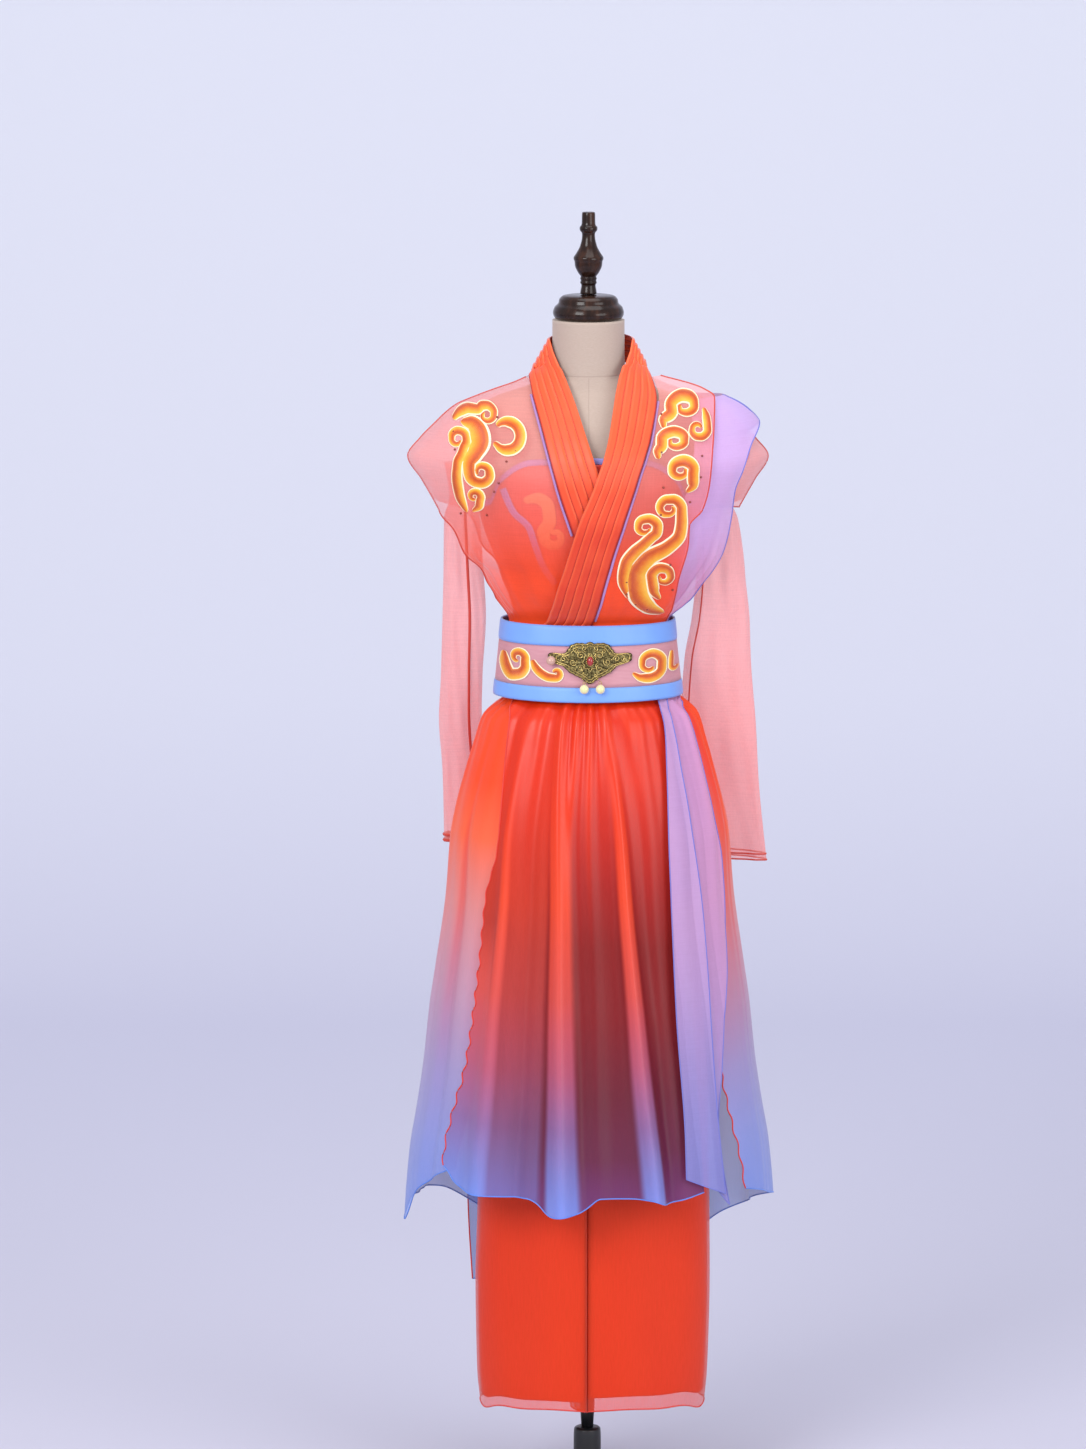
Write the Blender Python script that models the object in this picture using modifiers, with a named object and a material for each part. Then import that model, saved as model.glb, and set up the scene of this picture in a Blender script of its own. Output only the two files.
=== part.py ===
"""Dance costume on its dress form: cross-over vest, camisole, sleeves, belt, overskirt and trousers.

Metres, +Z up. The origin is under the middle of the stand's base plate, on the floor.
The costume faces -Y, so the side that a viewer sees on the left lies at -X.
"""
import math

import bpy
import numpy as np

for old in list(bpy.data.objects):
    bpy.data.objects.remove(old, do_unlink=True)

# Driving dimensions
SEAM = 0.0003
SHEER = 0.0012
SATIN = 0.0015
TUCKED = 0.0018
BELT_WALL = 0.0024
FINIAL_TOP = 1.7455
NECK_TOP = 1.6025
BELT_TOP = 1.2028
BELT_BOTTOM = 1.1024
UPPER_BINDING = 0.0265
LOWER_BINDING = 0.0190
TORSO_BOTTOM = 0.900
CROTCH = 0.862
TROUSER_HEM = 0.132
LINING_HEM = 0.156
CUFF = 0.882
CUFF_RIGHT = 0.858
POLE_RADIUS = 0.0115
SOCKET_TOP = 0.091
BASE_RADIUS = 0.190
BASE_HEIGHT = 0.014

costume = bpy.data.collections.new("dance_costume_on_dress_form")
bpy.context.scene.collection.children.link(costume)


def finish_of(name, colour, rough, metallic=0.0):
    """A Principled material of one colour."""
    material = bpy.data.materials.new(name)
    material.use_nodes = True
    shader = material.node_tree.nodes["Principled BSDF"]
    shader.inputs["Base Color"].default_value = (*colour, 1.0)
    shader.inputs["Roughness"].default_value = rough
    shader.inputs["Metallic"].default_value = metallic
    material.diffuse_color = (*colour, 1.0)
    return material


ORANGE = finish_of("collar_orange", (0.95, 0.16, 0.045), 0.55)
VERMILION = finish_of("vermilion_chiffon", (0.85, 0.055, 0.02), 0.5)
CORAL = finish_of("coral_organza", (0.85, 0.27, 0.19), 0.5)
LILAC = finish_of("lilac_organza", (0.60, 0.38, 0.66), 0.5)
BLUE = finish_of("sky_blue_satin", (0.19, 0.42, 0.86), 0.45)
PINK = finish_of("belt_pink_brocade", (0.74, 0.32, 0.38), 0.6)
GOLD = finish_of("gold_embroidery", (0.93, 0.38, 0.02), 0.5)
BRASS = finish_of("antique_brass", (0.26, 0.18, 0.07), 0.4, 1.0)
PEARL = finish_of("pearl", (0.74, 0.75, 0.36), 0.2)
STONE = finish_of("red_stone", (0.6, 0.03, 0.03), 0.1)
LINEN = finish_of("form_linen", (0.72, 0.61, 0.51), 0.8)
WOOD = finish_of("dark_turned_wood", (0.045, 0.022, 0.013), 0.3)
STEEL = finish_of("black_painted_steel", (0.012, 0.013, 0.016), 0.4)


def through(at, values, where):
    """A smooth curve through a table's rows that never overshoots them."""
    at = np.asarray(at, float)
    values = np.asarray(values, float)
    where = np.clip(np.asarray(where, float), at[0], at[-1])
    step = np.diff(at)
    slope = np.diff(values) / step
    tangent = np.zeros(len(at))
    tangent[0] = slope[0]
    tangent[-1] = slope[-1]
    before = slope[:-1]
    after = slope[1:]
    same = before * after > 0
    total = np.where(same, before + after, 1.0)
    tangent[1:-1] = np.where(same, 2 * before * after / total, 0.0)
    row = np.clip(np.searchsorted(at, where, side="right") - 1, 0, len(step) - 1)
    width = step[row]
    t = (where - at[row]) / width
    rise = values[row] * (1 + 2 * t) * (1 - t) ** 2 + values[row + 1] * t * t * (3 - 2 * t)
    lean = tangent[row] * t * (1 - t) ** 2 - tangent[row + 1] * t * t * (1 - t)
    return rise + lean * width


class Ring:
    """Level oval sections of the figure or of a garment, one row for each height.

    Columns: height, half width, depth in front, depth behind.
    An angle of 0 is the middle front, 90 degrees the side at +X.
    """

    def __init__(self, rows):
        self.rows = np.array(sorted(rows))

    def radius(self, column, height):
        return through(self.rows[:, 0], self.rows[:, column], height)

    def spot(self, angle, height, lift=0.0):
        """The point at an angle and a height, moved out along the surface's normal."""
        angle, height, lift = np.broadcast_arrays(angle, height, lift)
        step = 0.0005
        sine = np.sin(angle)
        cosine = np.cos(angle)
        front = cosine > 0
        wide = self.radius(1, height)
        deep = np.where(front, self.radius(2, height), self.radius(3, height))
        wide_up = (self.radius(1, height + step) - self.radius(1, height - step)) / (2 * step)
        up = np.where(front, self.radius(2, height + step), self.radius(3, height + step))
        down = np.where(front, self.radius(2, height - step), self.radius(3, height - step))
        deep_up = (up - down) / (2 * step)
        point = np.stack([wide * sine, -deep * cosine, height + 0 * wide], -1)
        rise = -wide * deep_up * cosine ** 2 - deep * wide_up * sine ** 2
        normal = np.stack([deep * sine, -wide * cosine, rise], -1)
        normal /= np.linalg.norm(normal, axis=-1, keepdims=True)
        return point + normal * lift[..., None]

    def angle(self, x, height):
        """The angle in front where the section reaches x."""
        return np.arcsin(np.clip(x / self.radius(1, height), -0.99998, 0.99998))


# Height, half width, front, back
FORM = Ring((
    (0.900, 0.142, 0.086, 0.096), (0.950, 0.146, 0.089, 0.099), (1.020, 0.134, 0.085, 0.093),
    (1.100, 0.103, 0.065, 0.071), (1.150, 0.095, 0.057, 0.063), (1.200, 0.094, 0.055, 0.059),
    (1.270, 0.113, 0.077, 0.077), (1.330, 0.136, 0.099, 0.088), (1.380, 0.148, 0.103, 0.090),
    (1.420, 0.156, 0.096, 0.088), (1.460, 0.161, 0.082, 0.080), (1.480, 0.154, 0.071, 0.072),
    (1.500, 0.124, 0.059, 0.061), (1.515, 0.080, 0.0515, 0.0525), (1.530, 0.0500, 0.0490, 0.0495),
    (1.560, 0.0480, 0.0478, 0.0478), (1.6115, 0.0479, 0.0479, 0.0479),
))
VEST = Ring((
    (1.180, 0.1055, 0.0635, 0.0705), (1.2028, 0.1060, 0.0640, 0.0710), (1.2272, 0.1205, 0.0770, 0.0810),
    (1.2500, 0.1370, 0.0900, 0.0900), (1.2738, 0.1520, 0.0970, 0.0940), (1.2936, 0.1740, 0.1030, 0.0970),
    (1.3275, 0.1900, 0.1100, 0.0995), (1.3465, 0.1985, 0.1125, 0.1000), (1.3900, 0.2215, 0.1130, 0.1000),
    (1.4210, 0.2395, 0.1080, 0.0980), (1.4440, 0.2235, 0.0990, 0.0930), (1.4650, 0.2030, 0.0880, 0.0850),
    (1.4800, 0.1875, 0.0790, 0.0780), (1.4900, 0.1740, 0.0730, 0.0720), (1.5000, 0.1510, 0.0665, 0.0665),
    (1.5100, 0.1250, 0.0600, 0.0600), (1.5200, 0.0970, 0.0545, 0.0550), (1.5300, 0.0760, 0.0495, 0.0500),
    (1.5400, 0.0560, 0.0470, 0.0480), (1.5600, 0.0478, 0.0460, 0.0470), (1.5860, 0.0468, 0.0455, 0.0465),
))
# The right front and the drape over it hang wider at the side than the left front does
WIDER = {1.2028: 0.1065, 1.2272: 0.1300, 1.2500: 0.1480, 1.2738: 0.1680, 1.2936: 0.1810, 1.3275: 0.1930,
         1.4440: 0.2320, 1.4650: 0.2240, 1.4800: 0.2110, 1.4900: 0.1970, 1.5000: 0.1740, 1.5100: 0.1420,
         1.5200: 0.1080}
DRAPE = Ring([(z, WIDER.get(round(z, 4), a), f, b) for z, a, f, b in VEST.rows.tolist()])
BELT = Ring((
    (1.1024, 0.1265, 0.0930, 0.0950), (1.2028, 0.1160, 0.0810, 0.0830),
))
SKIRT = Ring((
    (0.240, 0.2500, 0.1750, 0.1880), (0.400, 0.2445, 0.1680, 0.1800), (0.480, 0.2385, 0.1640, 0.1770),
    (0.540, 0.2290, 0.1590, 0.1730), (0.600, 0.2205, 0.1540, 0.1690), (0.680, 0.2125, 0.1480, 0.1650),
    (0.740, 0.2040, 0.1430, 0.1620), (0.830, 0.1920, 0.1370, 0.1570), (0.913, 0.1860, 0.1290, 0.1510),
    (0.952, 0.1790, 0.1240, 0.1460), (1.000, 0.1665, 0.1160, 0.1360), (1.040, 0.1545, 0.1080, 0.1230),
    (1.074, 0.1430, 0.0990, 0.1080), (1.090, 0.1265, 0.0895, 0.0940), (1.100, 0.1145, 0.0812, 0.0842),
    (1.116, 0.1105, 0.0775, 0.0800),
))
TROUSERS = Ring((
    (0.862, 0.158, 0.096, 0.104), (0.900, 0.157, 0.097, 0.108), (0.950, 0.153, 0.095, 0.107),
    (1.020, 0.140, 0.090, 0.100), (1.100, 0.1080, 0.0700, 0.0765), (1.135, 0.1000, 0.0630, 0.0690),
))


def settle(name, mesh, material):
    """Puts a mesh in the costume's collection under its name."""
    mesh.materials.append(material)
    piece = bpy.data.objects.new(name, mesh)
    costume.objects.link(piece)
    return piece


def cloth(name, grid, wall, material, around=False):
    """A cloth wall on a grid of points: rows first, columns with their outer side to the left."""
    rows, columns = grid.shape[:2]
    index = np.arange(rows * columns).reshape(rows, columns)
    right = np.roll(index, -1, axis=1) if around else index[:, 1:]
    left = index if around else index[:, :-1]
    faces = np.stack([left[:-1], right[:-1], right[1:], left[1:]], -1).reshape(-1, 4)
    mesh = bpy.data.meshes.new(name)
    mesh.from_pydata(grid.reshape(-1, 3).tolist(), [], faces.tolist())
    mesh.shade_smooth()
    piece = settle(name, mesh, material)
    shell = piece.modifiers.new("wall", "SOLIDIFY")
    shell.thickness = wall
    shell.offset = 1.0
    return piece


# Shares up a skirt panel; the rows close up where the belt presses on it
SKIRT_UP = (0, 0.13, 0.28, 0.44, 0.60, 0.74, 0.84, 0.91, 0.95, 0.979, 1.0)


def vest_up(rows):
    """Shares up a vest panel, with an extra row where the belt's edge presses on it."""
    edge = 0.055
    up = np.linspace(0, 1, rows - 1)
    up[1:-1] = 1 - (1 - up[1:-1]) * 0.955
    return np.sort(np.append(up, edge))


def panel(name, ring, low, high, left, right, up, columns, lift, wall, material):
    """A panel on a ring: low and high give the height across, left and right the angle up."""
    across = np.linspace(0, 1, columns)[None, :]
    up = np.asarray(up)[:, None]
    height = low(across) * (1 - up) + high(across) * up
    angle = left(height) * (1 - across) + right(height) * across
    return cloth(name, ring.spot(angle, height, lift(angle, height)), wall, material)


def table_edge(ring, rows):
    """An edge in front, from rows of height and x."""
    rows = np.array(sorted(rows))
    return lambda height: ring.angle(through(rows[:, 0], rows[:, 1], height), height)


def level(value):
    """The same height or angle everywhere."""
    return lambda across: value + 0 * across


def turned(name, profile, material, steps=28):
    """A turned piece: rows of radius and height down the outer side, ending on the axis."""
    mesh = bpy.data.meshes.new(name)
    points = [(radius, 0.0, height) for radius, height in profile]
    edges = [(i, i + 1) for i in range(len(points) - 1)]
    mesh.from_pydata(points, edges, [])
    piece = settle(name, mesh, material)
    screw = piece.modifiers.new("turn", "SCREW")
    screw.steps = steps
    screw.render_steps = steps
    screw.use_merge_vertices = True
    screw.merge_threshold = 0.00005
    screw.use_smooth_shade = True
    return piece


# Stand: base plate, socket and pole
turned("base_plate", (
    (0.0, BASE_HEIGHT), (0.060, BASE_HEIGHT), (BASE_RADIUS - 0.006, 0.0085), (BASE_RADIUS, 0.004),
    (BASE_RADIUS, 0.0), (0.0, 0.0),
), STEEL, 32)
turned("base_socket", (
    (0.0, SOCKET_TOP), (0.0150, SOCKET_TOP), (0.0186, SOCKET_TOP - 0.003), (0.0186, 0.045),
    (0.0230, 0.036), (0.0320, BASE_HEIGHT + 0.004), (0.0340, BASE_HEIGHT + SEAM),
    (0.0, BASE_HEIGHT + SEAM),
), STEEL, 20)
turned("pole", (
    (0.0, TORSO_BOTTOM - SEAM), (POLE_RADIUS, TORSO_BOTTOM - SEAM), (POLE_RADIUS, SOCKET_TOP + SEAM),
    (0.0, SOCKET_TOP + SEAM),
), STEEL, 20)

# Neck cap and finial, turned from dark wood
CAP_BOTTOM = NECK_TOP + SEAM
turned("neck_cap", (
    (0.0, 1.6360), (0.0250, 1.6360), (0.0345, 1.6345), (0.0390, 1.6300), (0.0398, 1.6240),
    (0.0450, 1.6200), (0.0474, 1.6130), (0.0466, 1.6080), (0.0432, CAP_BOTTOM), (0.0, CAP_BOTTOM),
), WOOD, 24)
turned("finial", (
    (0.0, FINIAL_TOP), (0.0075, FINIAL_TOP), (0.0088, FINIAL_TOP - 0.0015), (0.0090, 1.7283),
    (0.0118, 1.7256), (0.0118, 1.7214), (0.0084, 1.7172), (0.0088, 1.7093), (0.0115, 1.6991),
    (0.0165, 1.6903), (0.0198, 1.6857), (0.0198, 1.6824), (0.0186, 1.6806), (0.0180, 1.6731),
    (0.0140, 1.6648), (0.0098, 1.6597), (0.0113, 1.6574), (0.0100, 1.6546), (0.0113, 1.6518),
    (0.0092, 1.6485), (0.0105, 1.6416), (0.0112, 1.6363), (0.0, 1.6363),
), WOOD, 14)


def torso():
    """The padded torso: a closed skin over the form's sections, flat below and at the neck."""
    heights = np.array([TORSO_BOTTOM, 0.960, 1.040, 1.110, 1.190, 1.228, 1.270, 1.330, 1.380, 1.420, 1.455,
                        1.480, 1.498, 1.514, 1.530, NECK_TOP])
    columns = 24
    angle = np.linspace(0, 2 * math.pi, columns, endpoint=False)[None, :]
    grid = FORM.spot(angle, heights[:, None])
    index = np.arange(len(heights) * columns).reshape(len(heights), columns)
    right = np.roll(index, -1, axis=1)
    faces = np.stack([index[:-1], right[:-1], right[1:], index[1:]], -1).reshape(-1, 4).tolist()
    faces.append(index[-1].tolist())
    faces.append(index[0][::-1].tolist())
    mesh = bpy.data.meshes.new("form_torso")
    mesh.from_pydata(grid.reshape(-1, 3).tolist(), [], faces)
    mesh.shade_smooth()
    return settle("form_torso", mesh, LINEN)


torso()

# Camisole: a tube over the form with a bound top edge and a slanting band
CAMISOLE_LIFT = 0.0038
CAMISOLE_BOTTOM = 1.142


def camisole_top(angle):
    """The top edge: level in front, curving down to the side seams and lower behind."""
    turn = np.abs(np.degrees((angle + math.pi) % (2 * math.pi) - math.pi))
    return through((0, 28, 48, 62, 95, 180), (1.420, 1.417, 1.394, 1.362, 1.352, 1.352), turn)


def camisole():
    angle = np.linspace(0, 2 * math.pi, 24, endpoint=False)[None, :]
    up = np.array([0, 0.173, 0.31, 0.46, 0.676, 0.856, 1.0])[:, None]
    height = CAMISOLE_BOTTOM * (1 - up) + (camisole_top(angle) - SEAM) * up
    cloth("camisole_body", FORM.spot(angle, height, CAMISOLE_LIFT), SHEER, ORANGE, True)
    rim = camisole_top(angle) + np.array([0.0, 0.0075])[:, None]
    cloth("camisole_binding", FORM.spot(angle, rim, CAMISOLE_LIFT), SHEER, LILAC, True)


camisole()


def ribbon(name, ring, path, width, lift, wall, material, count=26):
    """A flat strip laid on a ring along a path of x and height rows; its width may be a row of widths."""
    path = np.array(path, float)
    run = np.concatenate([[0], np.cumsum(np.hypot(*np.diff(path, axis=0).T))])
    along = np.linspace(0, run[-1], count)
    x = through(run, path[:, 0], along)
    z = through(run, path[:, 1], along)
    tangent = np.stack([np.gradient(x), np.gradient(z)], -1)
    tangent /= np.linalg.norm(tangent, axis=1, keepdims=True)
    share = along / run[-1]
    widths = width if isinstance(width, tuple) else (width, width)
    half = 0.5 * through(np.linspace(0, 1, len(widths)), widths, share)
    xs = np.stack([x - tangent[:, 1] * half, x + tangent[:, 1] * half], 1)
    zs = np.stack([z + tangent[:, 0] * half, z - tangent[:, 0] * half], 1)
    grid = ring.spot(ring.angle(xs, zs), zs, lift(xs, zs) if callable(lift) else lift)
    return cloth(name, grid, wall, material)


BAND_PATH = (
    (-0.1100, 1.3860), (-0.0960, 1.3560), (-0.0765, 1.3370), (-0.0690, 1.3160), (-0.0575, 1.2840),
    (-0.0420, 1.2600),
)
ribbon("camisole_band", FORM, BAND_PATH, 0.0085, CAMISOLE_LIFT + SHEER + SEAM, SHEER, LILAC, 12)

# Vest: sheer panels with cap sleeves, soft gathers just above the belt
VEST_BOTTOM = 1.186
SIDE = math.radians(89.8)
DRAPE_LIFT = 0.0036
DRAPE_BACK_LIFT = 0.0068
RIGHT_LIFT = 0.0084
TIGHT = 0.37


def layer(lift, height):
    """A layer's lift, drawn in where the belt presses the cloth together."""
    return lift * (1 - TIGHT * np.clip((1.2350 - height) / 0.028, 0, 1))


def gather(angle, height):
    """Soft upright gathers above the belt, gone at the belt's edge and at the bust."""
    swell = np.clip((height - BELT_TOP) / 0.03, 0, 1) * np.clip((1.335 - height) / 0.06, 0, 1)
    return 0.0010 * swell * (1 + np.sin(angle * 11))


VEST_EDGE_LEFT = (
    (1.186, -0.1045), (1.2028, -0.1050), (1.2272, -0.1185), (1.2500, -0.1310), (1.2738, -0.1420),
    (1.2936, -0.1635), (1.3275, -0.1786), (1.3465, -0.1983),
)
SHOULDER_START = 1.3470


def outer_edge_left(height):
    """The vest's armhole edge, then the cap's edge and the shoulder seam."""
    return np.where(height < SHOULDER_START, table_edge(VEST, VEST_EDGE_LEFT)(height), -SIDE)


VEST_TO_COLLAR_LEFT = (
    (1.186, -0.010), (1.250, -0.006), (1.320, -0.012), (1.375, -0.028), (1.450, -0.052),
    (1.500, -0.062), (1.528, -0.068),
)
panel("vest_front_left", VEST, level(VEST_BOTTOM), level(1.5265), outer_edge_left,
      table_edge(VEST, VEST_TO_COLLAR_LEFT), vest_up(13), 10, gather, SHEER, CORAL)
VEST_TO_COLLAR_RIGHT = (
    (1.186, 0.016), (1.2565, 0.026), (1.3024, 0.040), (1.353, 0.056), (1.402, 0.072),
    (1.450, 0.0835), (1.480, 0.0880), (1.500, 0.0920), (1.528, 0.0800),
)
VEST_EDGE_RIGHT = (
    (1.186, 0.0960), (1.204, 0.0990), (1.226, 0.1070), (1.262, 0.1126), (1.315, 0.1273),
    (1.340, 0.1294), (1.361, 0.1461), (1.395, 0.1554), (1.444, 0.1608), (1.496, 0.1640),
    (1.505, 0.1500), (1.5235, 0.0900),
)
panel("vest_front_right", DRAPE, level(VEST_BOTTOM), level(1.5225), table_edge(DRAPE, VEST_TO_COLLAR_RIGHT),
      table_edge(DRAPE, VEST_EDGE_RIGHT), vest_up(14), 7, lambda a, h: layer(RIGHT_LIFT, h) + gather(a, h),
      SHEER, CORAL)

# The back reaches from shoulder seam to shoulder seam, its armhole edges further in
BACK_SHARE = 0.86


def back_left(height):
    """The back's edge at -X, as an angle that goes on past the middle of the back."""
    share = np.clip((height - 1.345) / 0.020, 0, 1)
    low = -math.pi - VEST.angle(through(*np.array(sorted(VEST_EDGE_LEFT)).T, height) * BACK_SHARE, height)
    return low * (1 - share) + (SIDE - math.pi) * share


def back_right(height):
    """The back's edge at +X."""
    return -2 * math.pi - back_left(height)


panel("vest_back", VEST, level(VEST_BOTTOM), level(1.5285), back_right, back_left, vest_up(12), 17,
      gather, SHEER, CORAL)

# The cap at +X shows behind the drape
CAP_RIGHT_IN = ((1.352, 0.158), (1.400, 0.170), (1.440, 0.172), (1.470, 0.172), (1.488, 0.166))
panel("cap_right", VEST, lambda u: 1.352 + 0.010 * (1 - u), lambda u: 1.452 - 0.002 * u,
      table_edge(VEST, CAP_RIGHT_IN), level(SIDE), vest_up(8), 5, lambda a, h: 0 * h, SHEER, CORAL)

# Lilac drape over one shoulder, front and back, tucked under the vest's edge and the belt
DRAPE_IN = (
    (1.186, 0.086), (1.226, 0.092), (1.262, 0.096), (1.315, 0.108), (1.361, 0.122), (1.444, 0.138),
    (1.495, 0.132), (1.500, 0.128),
)
DRAPE_OUT = (
    (1.186, 0.1040), (1.2028, 0.1050), (1.2353, 0.1330), (1.257, 0.1487), (1.2787, 0.1648),
    (1.303, 0.1769), (1.3465, 0.1869), (1.383, 0.1916), (1.4075, 0.2010), (1.4387, 0.2130),
    (1.465, 0.2235), (1.480, 0.2104), (1.490, 0.1964), (1.500, 0.1750),
)
panel("drape_front", DRAPE, level(VEST_BOTTOM), level(1.499), table_edge(DRAPE, DRAPE_IN),
      table_edge(DRAPE, DRAPE_OUT), vest_up(14), 7, lambda a, h: layer(DRAPE_LIFT, h) + gather(a, h),
      SHEER, LILAC)


# Height and angle of the drape's edge behind the shoulder
DRAPE_BEHIND = (
    (1.186, 114), (1.400, 118), (1.440, 118), (1.455, 108), (1.465, 96), (1.475, 90.2), (1.500, 90.2),
)


def drape_back_outer(height):
    """The drape's edge behind the shoulder, from the side seam to the shoulder seam."""
    return np.radians(through(*np.array(DRAPE_BEHIND).T, height))


def drape_back_lift(angle, height):
    """Free of the back, and close to it along the shoulder seam."""
    free = np.clip((np.degrees(angle) - 92) / 16, 0, 1)
    return layer(DRAPE_LIFT + (DRAPE_BACK_LIFT - DRAPE_LIFT) * free, height) + gather(angle, height)


panel("drape_back", DRAPE, level(VEST_BOTTOM), level(1.495), drape_back_outer,
      level(math.radians(152)), vest_up(11), 5, drape_back_lift, SHEER, LILAC)

# Crossed collar: two bands with lengthwise tucks that meet behind the neck
TUCKS = 5
TUCK_RISE = 0.0013
UNDER_LIFT = 0.0040
OVER_LIFT = 0.0108
BELT_PRESS = 0.0030
# Inner edge x and height, outer edge x and height, from the front up to the neck
UNDER_ROWS = (
    (0.0200, 1.3780, -0.0130, 1.3080), (0.0125, 1.4040, -0.0200, 1.3300), (0.0040, 1.4300, -0.0354, 1.3750),
    (-0.0070, 1.4620, -0.0500, 1.4250), (-0.0180, 1.4940, -0.0640, 1.4750),
    (-0.0300, 1.5250, -0.0735, 1.5080),
    (-0.0400, 1.5520, -0.0765, 1.5260), (-0.0466, 1.5750, -0.0710, 1.5310),
)
OVER_ROWS = (
    (-0.0600, 1.1900, -0.0020, 1.1900), (-0.0520, 1.2130, 0.0060, 1.2130), (-0.0370, 1.2620, 0.0166, 1.2520),
    (-0.0250, 1.3020, 0.0303, 1.3024), (-0.0134, 1.3397, 0.0468, 1.3530), (0.0084, 1.3937, 0.0630, 1.4020),
    (0.0248, 1.4420, 0.0795, 1.4500), (0.0371, 1.5130, 0.0878, 1.4960), (0.0425, 1.5450, 0.0800, 1.5200),
    (0.0466, 1.5750, 0.0720, 1.5305),
)
NECK_STEPS = (104, 120, 136, 152, 167, 179.6)


def collar(name, rows, side, lift, count):
    """A band from the front to the middle of the neck's back; side is -1 at -X and 1 at +X."""
    host = VEST if side < 0 else DRAPE
    rows = np.array(rows)
    across = np.linspace(0, 1, 2 * TUCKS + 1)[None, :]
    run = np.arange(len(rows))
    along = np.linspace(0, len(rows) - 1, count)
    inner_x, inner_z, outer_x, outer_z = (through(run, rows[:, k], along)[:, None] for k in range(4))
    x = inner_x * (1 - across) + outer_x * across
    height = inner_z * (1 - across) + outer_z * across
    angle = host.angle(x, height)
    turn = np.radians(NECK_STEPS)[:, None] * side
    share = (np.arange(len(NECK_STEPS)) + 1)[:, None] / len(NECK_STEPS)
    neck_height = (1.575 + 0.008 * share) * (1 - across) + (1.531 + 0.004 * share) * across
    angle = np.concatenate([angle, turn + 0 * across])
    height = np.concatenate([height, neck_height])
    tuck = TUCK_RISE * (np.arange(2 * TUCKS + 1) % 2)[None, :]
    lift = lift - BELT_PRESS * np.clip((1.2350 - height) / 0.028, 0, 1)
    laid = host.spot(angle, height, lift + tuck)
    # Round the neck the band stands straight between its two edges
    start = laid[:, :1]
    end = laid[:, -1:]
    out = host.spot(angle, height, lift + 0.01) - host.spot(angle, height, lift)
    out = out.mean(axis=1, keepdims=True)
    out /= np.linalg.norm(out, axis=-1, keepdims=True)
    flat = start * (1 - across[..., None]) + end * across[..., None] + out * tuck[..., None]
    stand = np.clip((np.arange(len(height)) - count + 4) / 3, 0, 1)[:, None, None]
    grid = laid * (1 - stand) + flat * stand
    if side < 0:
        grid = grid[:, ::-1]
    return cloth(name, grid, TUCKED, ORANGE)


collar("collar_under", UNDER_ROWS, -1, UNDER_LIFT, 9)
collar("collar_over", OVER_ROWS, 1, OVER_LIFT, 12)
PIPE_UNDER = 0.0019
PIPE_OVER = 0.0024
ribbon("piping_under", VEST,
       [(row[2] - PIPE_UNDER, row[3] - 0.002) for row in UNDER_ROWS[1:6]],
       0.0026, 0.0024, SHEER, LILAC, 12)
ribbon("piping_over", DRAPE,
       [(row[2] + PIPE_OVER, row[3] - 0.001) for row in OVER_ROWS[1:8]],
       0.0026, lambda x, z: layer(RIGHT_LIFT, z) + SHEER + 0.0008 + gather(VEST.angle(x, z), z),
       SHEER, LILAC, 16)

# Long sleeves: flat open tubes that hang a little behind the sides.
# Height, inner x, inner y, outer x, outer y, half depth
SLEEVE_RIGHT = (
    (1.412, 0.1660, 0.000, 0.1960, 0.000, 0.014), (1.365, 0.1497, 0.002, 0.1890, 0.002, 0.014),
    (1.335, 0.1447, 0.008, 0.2000, 0.008, 0.017), (1.280, 0.1450, 0.014, 0.2085, 0.014, 0.019),
    (1.2516, 0.1440, 0.020, 0.2110, 0.020, 0.019),
    (1.1987, 0.1390, 0.032, 0.2167, 0.028, 0.018), (1.139, 0.1300, 0.056, 0.2190, 0.036, 0.017),
    (1.050, 0.1260, 0.096, 0.2265, 0.056, 0.015), (0.968, 0.1310, 0.128, 0.2313, 0.074, 0.014),
    (CUFF_RIGHT, 0.1365, 0.150, 0.2430, 0.092, 0.014),
)
SLEEVE_LEFT = (
    (1.412, -0.1660, 0.000, -0.1920, 0.000, 0.014), (1.365, -0.1497, 0.002, -0.1850, 0.002, 0.014),
    (1.335, -0.1447, 0.008, -0.1925, 0.008, 0.017),
    (1.264, -0.1400, 0.018, -0.1935, 0.016, 0.019), (1.2055, -0.1367, 0.032, -0.1950, 0.026, 0.018),
    (1.116, -0.1420, 0.060, -0.1975, 0.044, 0.017), (1.058, -0.1440, 0.088, -0.2000, 0.060, 0.016),
    (0.984, -0.1430, 0.120, -0.1955, 0.084, 0.015), (CUFF, -0.1440, 0.146, -0.1930, 0.108, 0.015),
)


def sleeve(name, rows, rounds=9, columns=12):
    """A tube through flattened ovals, each set from its inner to its outer edge."""
    rows = np.array(sorted(rows))
    height = np.linspace(rows[0, 0], rows[-1, 0], rounds)
    in_x, in_y, out_x, out_y, deep = (through(rows[:, 0], rows[:, k], height)[:, None] for k in range(1, 6))
    turn = np.linspace(0, 2 * math.pi, columns, endpoint=False)[None, :]
    long_x = (out_x - in_x) / 2
    long_y = (out_y - in_y) / 2
    reach = np.hypot(long_x, long_y)
    side = np.sign(long_x)
    wave = 1 + 0.10 * np.sin(3 * turn + 9 * height[:, None])
    bulge = deep * np.cos(turn) * wave
    x = (in_x + out_x) / 2 + long_x * np.sin(turn) * side + long_y / reach * bulge * side
    y = (in_y + out_y) / 2 + long_y * np.sin(turn) * side - np.abs(long_x) / reach * bulge
    z = height[:, None] + 0 * turn
    return cloth(name, np.stack([x, y, z], -1), SHEER, CORAL, True)


sleeve("sleeve_right", SLEEVE_RIGHT)
sleeve("sleeve_left", SLEEVE_LEFT)

# Belt: a pink band between two blue bindings
BELT_STEPS = 34


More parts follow.
